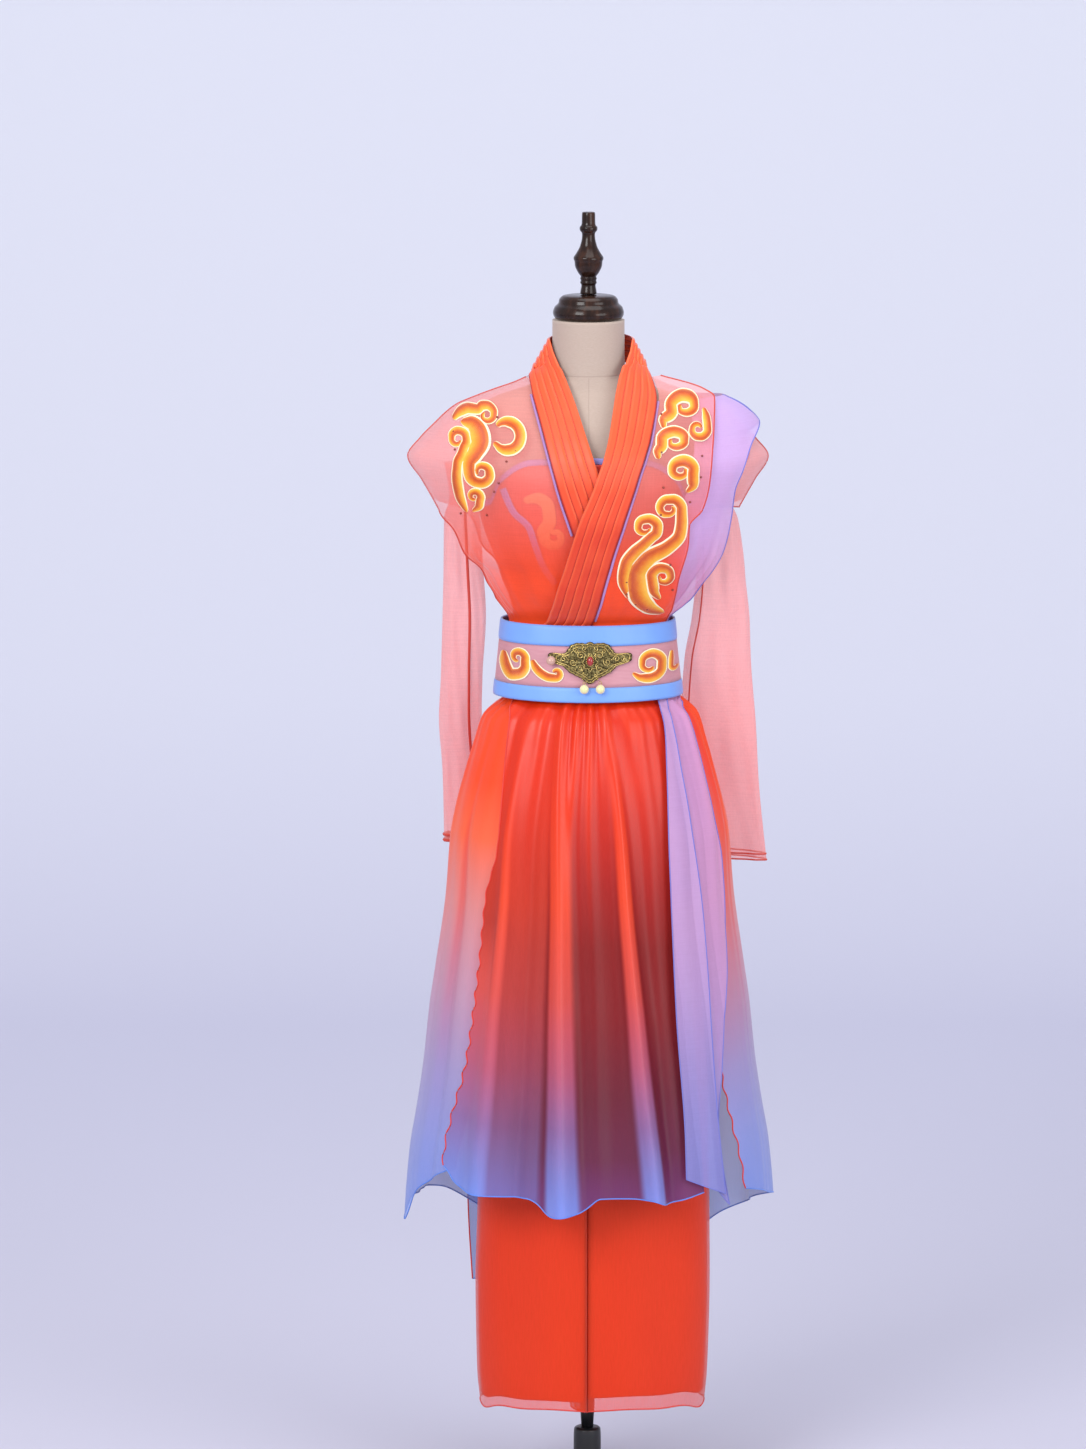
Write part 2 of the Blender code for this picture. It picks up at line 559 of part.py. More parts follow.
def belt_ring(name, low, high, wall, material):
    angle = np.linspace(0, 2 * math.pi, BELT_STEPS, endpoint=False)[None, :]
    height = np.array([low, high])[:, None]
    return cloth(name, BELT.spot(angle, height, -BELT_WALL), wall, material, True)


PINK_TOP = BELT_TOP - UPPER_BINDING
PINK_BOTTOM = BELT_BOTTOM + LOWER_BINDING
belt_ring("belt_binding_upper", PINK_TOP + SEAM, BELT_TOP, BELT_WALL + 0.0006, BLUE)
belt_ring("belt_band", PINK_BOTTOM, PINK_TOP, BELT_WALL, PINK)
belt_ring("belt_binding_lower", BELT_BOTTOM, PINK_BOTTOM - SEAM, BELT_WALL + 0.0006, BLUE)

# Belt ornament: a winged brass plate bent to the belt, a stone and pearls
PLATE_CENTRE = (0.002, 1.1555)
PLATE_WALL = 0.0022
PLATE_LIFT = 0.0010
# Angle round the plate's middle in degrees from +X, and reach
PLATE_REACH = (
    (-90, 0.0290), (-62, 0.0240), (-40, 0.0265), (-22, 0.0315), (-10, 0.0350), (-5, 0.0420), (2, 0.0540),
    (8, 0.0560), (12, 0.0535), (17, 0.0385), (24, 0.0340), (42, 0.0335), (62, 0.0290), (78, 0.0255),
    (90, 0.0275),
)


def plate():
    """Rings of points round the middle, out to a winged outline that is the same on both sides."""
    steps = 40
    turn = np.linspace(-math.pi / 2, 3 * math.pi / 2, steps, endpoint=False)
    folded = np.degrees(np.arcsin(np.sin(turn)))
    reach = through(*np.array(PLATE_REACH).T, folded)
    share = np.array([0.35, 0.75, 1.0])[:, None]
    x = PLATE_CENTRE[0] + reach * np.cos(turn) * share
    z = PLATE_CENTRE[1] + reach * np.sin(turn) * share
    dome = PLATE_LIFT + 0.0022 * (1 - share ** 2) + 0 * x
    grid = BELT.spot(BELT.angle(x, z), z, dome)
    middle = BELT.spot(BELT.angle(PLATE_CENTRE[0], PLATE_CENTRE[1]), PLATE_CENTRE[1], PLATE_LIFT + 0.0022)
    points = [tuple(middle)] + [tuple(p) for p in grid.reshape(-1, 3)]
    faces = [(0, 1 + k, 1 + (k + 1) % steps) for k in range(steps)]
    for ring in range(2):
        low = 1 + ring * steps
        high = low + steps
        faces += [(low + k, high + k, high + (k + 1) % steps, low + (k + 1) % steps) for k in range(steps)]
    mesh = bpy.data.meshes.new("buckle_plate")
    mesh.from_pydata(points, [], faces)
    mesh.shade_smooth()
    piece = settle("buckle_plate", mesh, BRASS)
    shell = piece.modifiers.new("wall", "SOLIDIFY")
    shell.thickness = PLATE_WALL
    shell.offset = 1.0


plate()


def bead(name, x, z, lift, radii, material, rings=6, segments=10):
    """A ball or an egg that lies on the belt with its middle at a lift from it."""
    bpy.ops.mesh.primitive_uv_sphere_add(segments=segments, ring_count=rings, radius=1.0)
    ball = bpy.context.object
    mesh = ball.data
    centre = BELT.spot(BELT.angle(x, z), z, lift)
    for vertex in mesh.vertices:
        vertex.co = [c * r + m for c, r, m in zip(vertex.co, radii, centre)]
    mesh.shade_smooth()
    mesh.materials.append(material)
    ball.name = name
    mesh.name = name
    for home in list(ball.users_collection):
        home.objects.unlink(ball)
    costume.objects.link(ball)


PEARL_RADIUS = 0.0062
bead("buckle_stone", PLATE_CENTRE[0], 1.1570, 0.0096, (0.0042, 0.0038, 0.0062), STONE)
bead("pearl_left", -0.0055, 1.1200, 0.0068, (PEARL_RADIUS,) * 3, PEARL)
bead("pearl_right", 0.0150, 1.1200, 0.0068, (PEARL_RADIUS,) * 3, PEARL)
bead("pearl_side", -0.0470, 1.1570, 0.0098, (PEARL_RADIUS,) * 3, PEARL)

# Overskirt: gathered panels, with ridges that grow from the belt to the hem
SKIRT_TOP = 1.1140


def fold_lift(angle, height, folds, gathers, deep):
    """Ridges from a table, and small gathers that die out below the belt.

    Columns: angle at the belt, angle at the hem, half width at the hem (degrees), rise at the hem.
    """
    drop = np.clip((SKIRT_TOP - height) / (SKIRT_TOP - 0.44), 0, 1.25)
    turn = np.degrees(angle)
    total = 0 * turn
    for top, hem, half, rise in folds:
        middle = top + (hem - top) * drop
        spread = 3.2 + (half - 3.2) * np.minimum(drop, 1)
        total = total + rise * drop ** 0.8 * np.exp(-(((turn - middle) / spread) ** 2) * 1.5)
    fade = np.clip(drop / 0.05, 0, 1) * np.exp(-drop / 0.16)
    return total + deep * fade * (1 + np.sin(turn * gathers))


FRONT_FOLDS = (
    (-34, -37, 7.0, 0.016), (-23, -24, 3.5, -0.006), (-14, -8, 6.0, 0.030), (-4, 4, 4.5, 0.004),
    (10, 21, 4.6, 0.024), (20, 28, 3.0, -0.004),
)
FRONT_LEFT_EDGE = (
    (0.460, -0.1956), (0.502, -0.1916), (0.545, -0.1816), (0.610, -0.1650), (0.671, -0.1554),
    (0.759, -0.1447), (0.842, -0.1367), (0.906, -0.1206), (1.000, -0.1130), (1.114, -0.0980),
)
FRONT_RIGHT_EDGE = ((0.430, 0.1560), (0.600, 0.1450), (0.800, 0.1300), (1.000, 0.1130), (1.114, 0.1000))
FRONT_HEM = ((0.0, 0.476), (0.10, 0.452), (0.20, 0.445), (0.36, 0.444), (0.46, 0.424), (0.54, 0.428),
             (0.62, 0.446), (0.78, 0.444), (0.84, 0.436), (1.0, 0.446))


def hem_of(rows):
    """A hem's height across its panel, from rows of share and height."""
    return lambda across: through(*np.array(rows).T, across)


panel("skirt_front", SKIRT, hem_of(FRONT_HEM), level(SKIRT_TOP), table_edge(SKIRT, FRONT_LEFT_EDGE),
      table_edge(SKIRT, FRONT_RIGHT_EDGE), SKIRT_UP, 29,
      lambda a, h: fold_lift(a, h, FRONT_FOLDS, 0.95, 0.0022), SATIN, VERMILION)


def degrees_edge(rows):
    """An edge from rows of height and angle in degrees."""
    rows = np.array(sorted(rows))
    return lambda height: np.radians(through(rows[:, 0], rows[:, 1], height))


INNER_LAYER = -0.0036
SIDE_FOLDS = (
    (-62, -66, 6.0, -0.008), (-84, -88, 7.0, 0.006), (-104, -102, 6.0, -0.006), (-118, -118, 5.0, 0.008),
)
SIDE_HEM = ((0.0, 0.474), (0.05, 0.468), (0.175, 0.449), (0.30, 0.420), (0.39, 0.382), (0.50, 0.410),
            (0.75, 0.405), (1.0, 0.360))
panel("skirt_side_left", SKIRT, lambda u: hem_of(SIDE_HEM)(1 - u), level(SKIRT_TOP),
      degrees_edge(((0.37, -146), (0.7, -146), (1.114, -146))),
      degrees_edge(((0.37, -50), (0.47, -49), (0.60, -44), (0.75, -41), (0.90, -36), (1.00, -38),
                    (1.114, -44))),
      SKIRT_UP, 14, lambda a, h: INNER_LAYER + fold_lift(a, h, SIDE_FOLDS, 0.9, 0.0), SATIN, VERMILION)
BACK_FOLDS = tuple(
    (98 + 23.0 * k, 101 + 23.0 * k, 7.5, 0.020 if k % 2 else 0.012) for k in range(5)
)


def back_lift(angle, height):
    """The back panel's folds; its edge at +X passes under the front and lilac panels."""
    under = np.clip((np.radians(88) - angle) / np.radians(12), 0, 1)
    return INNER_LAYER * under + (1 - under) * fold_lift(angle, height, BACK_FOLDS, 0.93, 0.0018)


BACK_HEM = (
    (0.0, 0.440), (0.16, 0.420), (0.36, 0.385), (0.55, 0.320), (0.75, 0.270), (0.90, 0.258), (1.0, 0.262),
)
panel("skirt_back", SKIRT, hem_of(BACK_HEM), level(SKIRT_TOP),
      degrees_edge(((0.40, 63), (0.443, 62), (0.628, 54.6), (0.90, 53), (1.114, 52))),
      degrees_edge(((0.25, 219), (0.40, 222), (0.80, 224), (1.114, 226))),
      SKIRT_UP, 25, back_lift, SATIN, VERMILION)

# Lilac panels that fall from the belt beside the front panel
LILAC_IN = (
    (0.430, 0.127), (0.521, 0.1246), (0.685, 0.1126), (0.869, 0.1045), (1.0075, 0.0990), (1.063, 0.0965),
    (1.114, 0.0860),
)
LILAC_MIDDLE = (
    (0.430, 0.1790), (0.496, 0.1715), (0.6305, 0.1600), (0.739, 0.1520), (0.856, 0.1410), (0.953, 0.1280),
    (1.0075, 0.1180), (1.097, 0.1010), (1.114, 0.0960),
)
LILAC_OUT = (
    (0.420, 0.1860), (0.485, 0.1755), (0.545, 0.1700), (0.606, 0.1735), (0.739, 0.1796), (0.884, 0.1730),
    (0.948, 0.1620), (0.994, 0.1510), (1.063, 0.1320), (1.114, 0.1100),
)
LILAC_LIFT = 0.0058


def lilac_base(height):
    """The lift over the front panel: close at the belt, freer below."""
    return 0.0029 + (LILAC_LIFT - 0.0029) * np.clip((SKIRT_TOP - height) / 0.06, 0, 1)


def over_front(angle, height):
    """The lift that clears the front panel's ridges and gathers."""
    return lilac_base(height) + np.maximum(fold_lift(angle, height, FRONT_FOLDS, 0.95, 0.0022), 0)


panel("lilac_panel_outer", SKIRT, lambda u: 0.446 - 0.020 * u, level(SKIRT_TOP),
      lambda h: table_edge(SKIRT, LILAC_MIDDLE)(h) - math.radians(2.5), table_edge(SKIRT, LILAC_OUT),
      SKIRT_UP, 6, over_front, SHEER, LILAC)
panel("lilac_panel_inner", SKIRT, lambda u: 0.468 - 0.026 * u, level(SKIRT_TOP),
      table_edge(SKIRT, LILAC_IN), table_edge(SKIRT, LILAC_MIDDLE), SKIRT_UP, 6,
      lambda a, h: over_front(a, h) + 0.0018 + 0.0018 * np.clip((1.09 - h) / 0.05, 0, 1), SHEER, LILAC)

# Trousers: a seat part and two wide legs, each with a shorter lining
# Height, reach to the side
LEG_LEFT = (
    (0.120, 0.1450), (0.175, 0.1500), (0.300, 0.1520), (0.416, 0.1490), (0.600, 0.1500), (0.862, 0.1580),
)
LEG_RIGHT = (
    (0.120, 0.1580), (0.175, 0.1630), (0.300, 0.1660), (0.416, 0.1650), (0.600, 0.1620), (0.862, 0.1580),
)
LEG_FRONT = ((0.120, 0.086), (0.300, 0.090), (0.600, 0.093), (0.862, 0.096))
LEG_BACK = ((0.120, 0.088), (0.300, 0.093), (0.600, 0.098), (0.862, 0.104))


def seat():
    angle = np.linspace(0, 2 * math.pi, 26, endpoint=False)[None, :]
    height = np.array([CROTCH + SEAM, 0.940, 1.020, 1.090, 1.135])[:, None]
    cloth("trousers_top", TROUSERS.spot(angle, height), SHEER, VERMILION, True)


seat()


def leg(name, side, reach_rows, inset, wall_x, hem, top, hem_wave, rounds):
    """A leg's section: an oval outer side, and an inner side that bends round the pole."""
    outer = np.linspace(0, math.pi, 14)
    inner = np.linspace(1, -1, 8)[1:-1]
    turn = np.concatenate([outer, 0 * inner])[None, :]
    run = np.concatenate([0 * outer, inner])[None, :]
    curved = np.arange(turn.size)[None, :] < len(outer)
    up = np.linspace(0, 1, rounds)[:, None]
    wave = np.where(curved, np.sin(turn * 3.0 + 0.6), 0.0)
    height = (hem + hem_wave * wave) * (1 - up) + top * up
    reach = through(*np.array(reach_rows).T, height) - inset
    front = through(*np.array(LEG_FRONT).T, height) - inset
    back = through(*np.array(LEG_BACK).T, height) - inset
    ripple = 0.006 * np.sin(4 * turn + 5 * height) * np.clip((0.7 - height) / 0.4, 0, 1)
    edge = 0.0022 + 2.2 * inset
    outer_x = edge + (reach - edge) * np.sin(turn) ** 0.85
    outer_y = -np.cos(turn)
    outer_y = outer_y * (np.where(outer_y < 0, front, back) + ripple)
    bend = np.clip(1.12 * (1 - run ** 4), 0, 1)
    inner_x = edge * (1 - bend) + side * wall_x * bend
    inner_y = run * np.where(run < 0, front, back)
    x = side * np.where(curved, outer_x, inner_x)
    y = np.where(curved, outer_y, inner_y)
    grid = np.stack([x, y, height], -1)
    if side < 0:
        grid = grid[:, ::-1]
    return cloth(name, grid, SHEER, VERMILION, True)


LINING_INSET = 0.0036
leg("leg_right", 1, LEG_RIGHT, 0.0, -0.0170, TROUSER_HEM, CROTCH, 0.005, 6)
leg("leg_left", -1, LEG_LEFT, 0.0, -0.0225, TROUSER_HEM, CROTCH, 0.005, 6)
leg("lining_right", 1, LEG_RIGHT, LINING_INSET, -0.0136, LINING_HEM + 0.006, 0.845, 0.004, 4)
leg("lining_left", -1, LEG_LEFT, LINING_INSET, -0.0262, LINING_HEM, 0.845, 0.004, 4)


# Cloud-scroll appliques: padded strips that end in a curl
def curl(x, z, start_radius, end_radius, start, sweep, flat=1.0):
    """Points of a curl round a middle, from the outside in; angles in degrees."""
    share = np.linspace(0, 1, 13)
    turn = np.radians(start + sweep * share)
    radius = start_radius + (end_radius - start_radius) * share ** 1.3
    return list(zip(x + radius * np.cos(turn), z + flat * radius * np.sin(turn)))


APPLIQUE = 0.0016
APPLIQUE_GAP = 0.0005
ON_LEFT = SHEER + APPLIQUE_GAP
ON_RIGHT = RIGHT_LIFT + SHEER + APPLIQUE_GAP
ON_BELT = 0.0007


def on_vest(base):
    return lambda x, z: base + gather(VEST.angle(x, z), z)


# Name, stem rows of x and height, curl (x, height, radius out, radius in, start, sweep, flatness),
# widths along it, base
VEST_SCROLLS = (
    ("scroll_left_top",
     ((-0.1790, 1.4730), (-0.1690, 1.4825), (-0.1575, 1.4870)),
     (-0.1345, 1.4805, 0.0130, 0.0035, 150, -385, 0.95),
     (0.004, 0.0088, 0.0080, 0.007, 0.0052, 0.003), ON_LEFT),
    ("scroll_left_main",
     ((-0.1690, 1.4710), (-0.1560, 1.4700), (-0.1455, 1.4610), (-0.1425, 1.4480), (-0.1495, 1.4330),
      (-0.1575, 1.4200)),
     (-0.1415, 1.4090, 0.0160, 0.0040, 170, 410),
     (0.004, 0.014, 0.0175, 0.015, 0.012, 0.0105, 0.0095, 0.0085, 0.0065, 0.0035), ON_LEFT),
    ("scroll_left_ring",
     ((-0.1250, 1.4470),),
     (-0.1075, 1.4560, 0.0180, 0.0175, -140, 280),
     (0.004, 0.0095, 0.0100, 0.0095, 0.004), ON_LEFT),
    ("scroll_left_low",
     ((-0.1600, 1.3540), (-0.1700, 1.3780), (-0.1735, 1.4030), (-0.1720, 1.4200), (-0.1665, 1.4310)),
     (-0.1725, 1.4490, 0.0130, 0.0035, -45, 400),
     (0.003, 0.0085, 0.0095, 0.0085, 0.0085, 0.0075, 0.006, 0.0035), ON_LEFT),
    ("scroll_left_tail",
     ((-0.1530, 1.3560), (-0.1440, 1.3640)),
     (-0.1500, 1.3760, 0.0085, 0.0030, -30, 330),
     (0.0025, 0.0075, 0.0070, 0.0055, 0.0025), ON_LEFT),
    ("scroll_right_top",
     ((0.0975, 1.4630), (0.0965, 1.4720)),
     (0.1240, 1.4880, 0.0185, 0.0045, 205, -420, 0.75),
     (0.004, 0.0105, 0.0100, 0.009, 0.007, 0.0035), ON_RIGHT),
    ("scroll_right_rose",
     ((0.1490, 1.4860), (0.1520, 1.4760)),
     (0.1415, 1.4610, 0.0125, 0.0032, 20, -365, 0.95),
     (0.003, 0.0072, 0.0072, 0.0064, 0.005, 0.003), ON_RIGHT),
    ("scroll_right_second",
     ((0.0905, 1.4260), (0.0890, 1.4340)),
     (0.1110, 1.4470, 0.0175, 0.0045, 200, -420, 0.75),
     (0.004, 0.010, 0.0095, 0.0085, 0.0065, 0.0035), ON_RIGHT),
    ("scroll_right_third",
     ((0.1255, 1.3850), (0.1340, 1.3950)),
     (0.1190, 1.4120, 0.0165, 0.0042, -25, 420, 0.8),
     (0.003, 0.010, 0.0095, 0.0085, 0.0065, 0.0035), ON_RIGHT),
    ("scroll_chest_main",
     ((0.0970, 1.2230), (0.0770, 1.2330), (0.0630, 1.2530), (0.0610, 1.2760), (0.0760, 1.2990),
      (0.1010, 1.3130), (0.1165, 1.3290), (0.1190, 1.3470)),
     (0.1030, 1.3640, 0.0160, 0.0040, 0, 410, 0.88),
     (0.003, 0.014, 0.0175, 0.0165, 0.014, 0.012, 0.0105, 0.0095, 0.0085, 0.0065, 0.0035), ON_RIGHT),
    ("scroll_chest_side",
     ((0.0510, 1.2460), (0.0440, 1.2690), (0.0480, 1.2930), (0.0590, 1.3085), (0.0700, 1.3180)),
     (0.0730, 1.3400, 0.0160, 0.0040, -65, 420, 0.88),
     (0.003, 0.009, 0.011, 0.011, 0.0100, 0.0095, 0.0085, 0.0065, 0.0035), ON_RIGHT),
    ("scroll_chest_low",
     ((0.0905, 1.2440), (0.0825, 1.2560)),
     (0.0940, 1.2740, 0.0145, 0.0036, 205, -410),
     (0.003, 0.0095, 0.0090, 0.0080, 0.0060, 0.0035), ON_RIGHT),
)
BELT_SCROLL_WALL = 0.0012
BELT_SCROLLS = (
    ("scroll_belt_left",
     ((-0.1120, 1.1640), (-0.1100, 1.1480), (-0.1010, 1.1345), (-0.0900, 1.1370), (-0.0835, 1.1470)),
     (-0.0930, 1.1570, 0.0100, 0.0030, -20, 300),
     (0.004, 0.0095, 0.0105, 0.0095, 0.0085, 0.0075, 0.006, 0.003)),
    ("scroll_belt_wave",
     ((-0.0745, 1.1560), (-0.0690, 1.1455), (-0.0605, 1.1380), (-0.0520, 1.1345)),
     (-0.0430, 1.1400, 0.0062, 0.0030, -100, 260),
     (0.004, 0.0078, 0.0082, 0.0075, 0.006, 0.003)),
    ("scroll_belt_ring",
     ((0.0580, 1.1400), (0.0695, 1.1330)),
     (0.0815, 1.1500, 0.0182, 0.0055, -95, 420),
     (0.003, 0.0085, 0.0088, 0.0080, 0.006, 0.0035)),
    ("scroll_belt_end",
     ((0.1105, 1.1640), (0.1095, 1.1500)),
     (0.1140, 1.1450, 0.0050, 0.0042, 200, 150),
     (0.003, 0.0048, 0.0048, 0.003)),
)


def appliques():
    """Padded strips on the vest, and thinner ones on the belt."""
    for name, stem, swirl, widths, base in VEST_SCROLLS:
        host = VEST if base == ON_LEFT else DRAPE
        ribbon(name, host, list(stem) + curl(*swirl), widths, on_vest(base), APPLIQUE, GOLD, 20)
    for name, stem, swirl, widths in BELT_SCROLLS:
        ribbon(name, BELT, list(stem) + curl(*swirl), widths, ON_BELT, BELT_SCROLL_WALL, GOLD, 16)


appliques()
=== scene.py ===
"""Dance costume on its dress form: sheer vest, camisole, sleeves, belt, overskirt and wide trousers.

Metres, +Z up, the costume faces -Y. Every piece is a surface worked out on a grid, in the CAD's own place.
"""
import math

import bpy
import numpy as np
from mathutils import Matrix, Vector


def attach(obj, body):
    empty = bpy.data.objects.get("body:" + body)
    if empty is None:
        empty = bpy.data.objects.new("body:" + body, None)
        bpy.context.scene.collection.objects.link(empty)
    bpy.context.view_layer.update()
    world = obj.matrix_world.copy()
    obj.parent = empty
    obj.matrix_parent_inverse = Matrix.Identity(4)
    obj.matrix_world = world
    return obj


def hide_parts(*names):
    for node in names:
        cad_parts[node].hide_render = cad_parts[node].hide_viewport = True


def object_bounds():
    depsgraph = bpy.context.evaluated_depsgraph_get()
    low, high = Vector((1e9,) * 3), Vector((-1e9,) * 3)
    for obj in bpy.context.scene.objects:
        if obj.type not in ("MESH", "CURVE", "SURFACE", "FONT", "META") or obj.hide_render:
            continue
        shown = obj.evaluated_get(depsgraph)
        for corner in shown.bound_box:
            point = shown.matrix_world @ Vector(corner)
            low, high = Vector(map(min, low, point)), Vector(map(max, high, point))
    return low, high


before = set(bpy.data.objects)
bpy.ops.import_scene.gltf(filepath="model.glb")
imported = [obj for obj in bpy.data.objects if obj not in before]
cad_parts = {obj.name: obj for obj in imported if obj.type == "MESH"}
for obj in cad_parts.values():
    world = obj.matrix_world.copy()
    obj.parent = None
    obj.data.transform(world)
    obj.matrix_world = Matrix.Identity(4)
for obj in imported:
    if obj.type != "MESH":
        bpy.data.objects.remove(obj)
cad_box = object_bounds()
scene = bpy.context.scene

# Studio: a camera well back and a little above the waist, a lavender paper sweep that runs up
# behind the form, and large soft lights in front at the left and the right, and overhead.
ELEVATION = math.radians(9.0)
CAMERA_AWAY = 9.0
camera_data = bpy.data.cameras.new("photo_camera")
camera_data.sensor_fit = "VERTICAL"
camera_data.sensor_height = 36.0
camera_data.lens = 166.9
camera = bpy.data.objects.new("photo_camera", camera_data)
scene.collection.objects.link(camera)
camera.location = (-0.0603, -CAMERA_AWAY * math.cos(ELEVATION), 1.0584 + CAMERA_AWAY * math.sin(ELEVATION))
camera.rotation_euler = (math.pi / 2 - ELEVATION, 0.0, 0.0)
scene.camera = camera
scene.view_settings.view_transform = "Standard"


def linear(red, green, blue):
    """The linear light of a screen colour from 0 to 255."""
    share = np.array([red, green, blue]) / 255.0
    light = np.where(share <= 0.04045, share / 12.92, ((share + 0.055) / 1.055) ** 2.4)
    return tuple(float(v) for v in light)


world = bpy.data.worlds.new("studio_air")
world.use_nodes = True
world.node_tree.nodes["Background"].inputs["Color"].default_value = (*linear(236, 236, 248), 1.0)
world.node_tree.nodes["Background"].inputs["Strength"].default_value = 0.74
scene.world = world


def soft_light(name, place, size, power):
    """A square panel of light that faces the middle of the costume."""
    data = bpy.data.lights.new(name, "AREA")
    data.shape = "SQUARE"
    data.size = size
    data.energy = power
    lamp = bpy.data.objects.new(name, data)
    lamp.location = place
    toward = np.array([0.0, 0.0, 1.0]) - np.array(place)
    level_reach = math.hypot(toward[0], toward[1])
    lamp.rotation_euler = (math.atan2(level_reach, -toward[2]), 0.0, math.atan2(-toward[0], toward[1]))
    scene.collection.objects.link(lamp)


soft_light("key_light", (-2.2, -3.6, 3.0), 2.0, 112)
soft_light("fill_light", (2.8, -3.2, 2.0), 2.4, 66)
soft_light("top_light", (0.2, -0.6, 4.4), 2.6, 52)


class Wire:
    """A value inside a material: arithmetic on it adds Math nodes."""

    def __init__(self, finish, socket):
        self.finish = finish
        self.socket = socket

    def math(self, operation, *values):
        return self.finish.node("ShaderNodeMath", {"operation": operation}, *values)

    def __add__(self, other):
        return self.math("ADD", self, other)

    def __sub__(self, other):
        return self.math("SUBTRACT", self, other)

    def __rsub__(self, other):
        return self.math("SUBTRACT", other, self)

    def __mul__(self, other):
        return self.math("MULTIPLY", self, other)

    def __pow__(self, other):
        return self.math("POWER", self, other)

    __radd__ = __add__
    __rmul__ = __mul__


class Finish:
    """A procedural material round one Principled shader."""

    def __init__(self, name, rough=0.5, **constants):
        self.material = bpy.data.materials.new(name)
        self.material.use_nodes = True
        self.tree = self.material.node_tree
        self.shader = self.tree.nodes["Principled BSDF"]
        self.shader.inputs["Roughness"].default_value = rough
        for socket, value in constants.items():
            self.shader.inputs[socket.replace("_", " ")].default_value = value

    def node(self, kind, settings=None, *values, out=0, **named):
        """A node of a kind: its settings first, then values or wires for its sockets."""
        made = self.tree.nodes.new(kind)
        for key, value in (settings or {}).items():
            setattr(made, key, value)
        for key, value in list(enumerate(values)) + list(named.items()):
            socket = made.inputs[key]
            if isinstance(value, Wire):
                self.tree.links.new(value.socket, socket)
            else:
                socket.default_value = value
        return Wire(self, made.outputs[out])

    def place(self, stretch=(1.0, 1.0, 1.0)):
        """Object coordinates, stretched."""
        here = self.node("ShaderNodeTexCoord", None, out="Object")
        return self.node("ShaderNodeMapping", None, here, Scale=stretch)

    def axis(self, which):
        """One of the object coordinates x, y and z."""
        here = self.node("ShaderNodeTexCoord", None, out="Object")
        return self.node("ShaderNodeSeparateXYZ", None, here, out=which)

    def mark(self, name):
        """A number stored on the surface's points."""
        return self.node("ShaderNodeAttribute", {"attribute_name": name}, out="Fac")

    def noise(self, scale, stretch=(1.0, 1.0, 1.0), detail=3.0):
        """Noise from about 0.25 to 0.75."""
        return self.node("ShaderNodeTexNoise", None, Vector=self.place(stretch), Scale=scale, Detail=detail)

    def ramp(self, value, stops):
        """Colours at positions from 0 to 1, blended between them."""
        made = self.tree.nodes.new("ShaderNodeValToRGB")
        band = made.color_ramp.elements
        while len(band) < len(stops):
            band.new(0.5)
        for slot, (at, shade) in zip(band, stops):
            slot.position = at
            slot.color = (*shade, 1.0)
        self.tree.links.new(value.socket, made.inputs[0])
        return Wire(self, made.outputs[0])

    def mix(self, share, first, second, blend="MIX"):
        """The second colour over the first by a share."""
        made = self.tree.nodes.new("ShaderNodeMix")
        made.data_type = "RGBA"
        made.blend_type = blend
        for socket, value in ((0, share), (6, first), (7, second)):
            if isinstance(value, Wire):
                self.tree.links.new(value.socket, made.inputs[socket])
            elif socket == 0:
                made.inputs[0].default_value = value
            else:
                made.inputs[socket].default_value = (*value, 1.0)
        return Wire(self, made.outputs[2])

    def step(self, value, low, high):
        """0 below low, 1 above high, smooth between."""
        settings = {"interpolation_type": "SMOOTHSTEP"}
        return self.node("ShaderNodeMapRange", settings, value, low, high, 0.0, 1.0)

    def feed(self, socket, wire):
        self.tree.links.new(wire.socket, self.shader.inputs[socket])

    def bump(self, height, strength, depth):
        raised = self.node("ShaderNodeBump", None, Strength=strength, Distance=depth, Height=height)
        self.feed("Normal", raised)


paper = Finish("lavender_paper", 0.9)
# Painted shade: the paper is darker on the floor near the camera and lighter up the sweep and farther back.
painted_paper_falloff = paper.axis("Y") * 0.12 + paper.axis("Z") * 0.2
paper.feed("Base Color", paper.ramp(painted_paper_falloff, (
    (0.03, linear(200, 199, 214)), (0.38, linear(214, 214, 232)), (0.62, linear(231, 233, 245)),
    (0.98, linear(241, 244, 252)),
)))
paper.feed("Alpha", 1 - paper.node("ShaderNodeNewGeometry", None, out="Backfacing"))


def sweep():
    """The paper: level floor, a quarter round behind the form, then upright; a profile carried across."""
    turn = np.linspace(0, math.pi / 2, 24)
    bend = 2.2
    deep = np.concatenate([[-14.0, 3.2], 3.2 + bend * np.sin(turn[1:]), [3.2 + bend]])
    high = np.concatenate([[0.0, 0.0], bend * (1 - np.cos(turn[1:])), [12.0]])
    wide = np.array([-12.0, 12.0])
    points = np.stack([
        wide[None, :] + 0 * deep[:, None], deep[:, None] + 0 * wide, high[:, None] + 0 * wide,
    ], -1).reshape(-1, 3)
    first = np.arange(len(deep) - 1)[:, None] * 2
    faces = (first + np.array([[0, 1, 3, 2]])).tolist()
    mesh = bpy.data.meshes.new("paper_sweep")
    mesh.from_pydata(points.tolist(), [], faces)
    mesh.shade_smooth()
    mesh.materials.append(paper.material)
    piece = bpy.data.objects.new("paper_sweep", mesh)
    scene.collection.objects.link(piece)


sweep()

# Stand: a spun steel base plate, a socket with a collar and a steel tube, all sprayed satin black.
# The pole stands in the socket and the form's torso sits on its top end.
SEAM = 0.0003
black = Finish("satin_black_steel", 0.38, Coat_Weight=0.25, Coat_Roughness=0.2)
scuff = black.step(black.noise(38.0, detail=6.0), 0.60, 0.72)
black.feed("Base Color", black.mix(scuff, linear(26, 27, 30), linear(52, 52, 56)))
black.feed("Roughness", 0.34 + 0.22 * black.noise(90.0))
black.bump(black.noise(900.0), 0.08, 0.0004)


